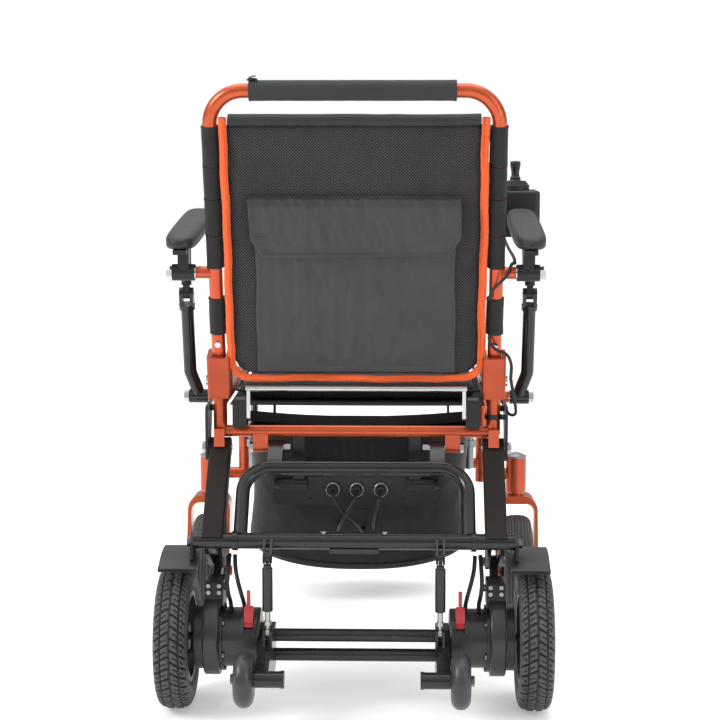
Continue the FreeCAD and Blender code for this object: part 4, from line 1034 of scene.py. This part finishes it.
# Joystick: bellows, stem and cap in one turned shape, in a boot that stays with the armrest
stickFoot = (253, 340, 768)
stickShape = [(-2.8, 0.2), (-2.8, 3.3), (3.0, 3.4), (5.2, 3.6), (5.8, 9.6), (6.6, 10.8), (8.2, 10.6), (9.2, 9.3),
              (10.4, 9.2), (11.6, 9.9), (13.0, 9.7),
              (14.0, 8.6), (15.4, 8.2), (16.6, 9.0), (18.0, 8.6), (19.2, 6.9), (21.0, 6.6), (24.0, 6.3), (28.0, 6.6),
              (32.0, 7.4), (36.0, 8.1), (39.0, 8.5),
              (41.5, 8.6), (43.4, 7.9), (44.5, 6.2), (44.9, 3.5), (45.0, 0.2)]
fine = spaced(np.array(stickShape), 130)
for _ in range(2):
    fine[1:-1] = fine[:-2] * 0.25 + fine[1:-1] * 0.5 + fine[2:] * 0.25
stick = lathe("joystickStick", fine, stickFoot, 2, steps=64)
own(stick, "leadRubber", "joystick", ["joystick_stick"])
skirtShape = [(3.8, 22.9), (5.0, 23.2), (6.4, 22.2), (7.2, 20.4), (8.4, 20.9), (9.6, 20.0), (10.0, 18.0),
              (11.4, 18.4), (12.4, 17.6), (12.6, 16.6), (12.0, 16.0), (4.0, 16.0)]
skirt = gridPiece("joystickBoot", lathePoints(roundedLine(skirtShape, 90), stickFoot, 2, 72), closeU=True,
                  closeV=True)
own(skirt, "leadRubber", "armrest_right")
print("arm pads and joystick made")

# Small metal pieces
boltShape = [(0.0, 0.2), (0.0, 3.2), (0.8, 3.4), (2.6, 3.3), (3.4, 2.7), (3.6, 1.8), (2.6, 1.6), (2.5, 0.2)]
boltRing = dict(x=196.0, z=107, radius=47.0)
for side, word in ((-1, "left"), (1, "right")):
    heads = []
    for turn in np.radians(np.arange(20, 380, 60)):
        across, up = boltRing["radius"] * math.cos(turn), boltRing["z"] + boltRing["radius"] * math.sin(turn)
        heads.append(lathe("motorBolt", np.array(boltShape) * (-side, 1.0), (side * boltRing["x"], across, up), 0,
                steps=20))
    own(joined("motorBolts_" + word, heads), "boltHead", "axle_unit")
collarShape = roundedLine([(100.2, 8.2), (100.2, 11.4), (98.6, 11.8), (94.5, 11.2), (93.2, 10.2), (93.2, 8.2)], 40)
knurl = turns(96)
collars = []
socketZ = 313
for x in (-37, 0, 37):
    r = collarShape[:, 1][:, None] * (1 + 0.022 * np.sign(np.sin(knurl * 24)) * (collarShape[:, 1] > 10.9)[:, None])
    points = place(x + r * np.cos(knurl), collarShape[:, 0][:, None] + 0 * r, socketZ + r * np.sin(knurl))
    collars.append(gridPiece("leadCollar", points, closeU=True, closeV=True))
own(joined("leadCollars", collars), "steel", "chair_frame")
print("small metal pieces made")

# The joystick lead where it passes the two pivots
leadRadius = 0.0026


# A short length of lead across the pivot, between points on the bodies on either side; it stays in place, on no body.
def leadAcross(name, route):
    line = smoothLine(np.array(route), 40)
    piece = tube(name, line, leadRadius, sides=16)
    piece.data.materials.append(finishes["leadRubber"])
    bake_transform(piece)


leadAcross("leadAtHinge", [backPlace(233, 34, -26.7), backPlace(232.7, 24, -25.8), backPlace(232.2, 15, -25.1),
        place(232.7, 55.5, 489.0),
                           place(234.0, 54.3, 481.0), place(235.6, 53.3, 472.0)])
leadAcross("leadAtArm", [place(235.0, 46, 672.6), place(235.0, 38, 670.0), place(235.0, 30, 666.5),
        backPlace(231.5, 192, -4.5), backPlace(228.6, 187, -6),
                         backPlace(226.8, 182.5, -11.5)])
print("leads joined across the pivots")
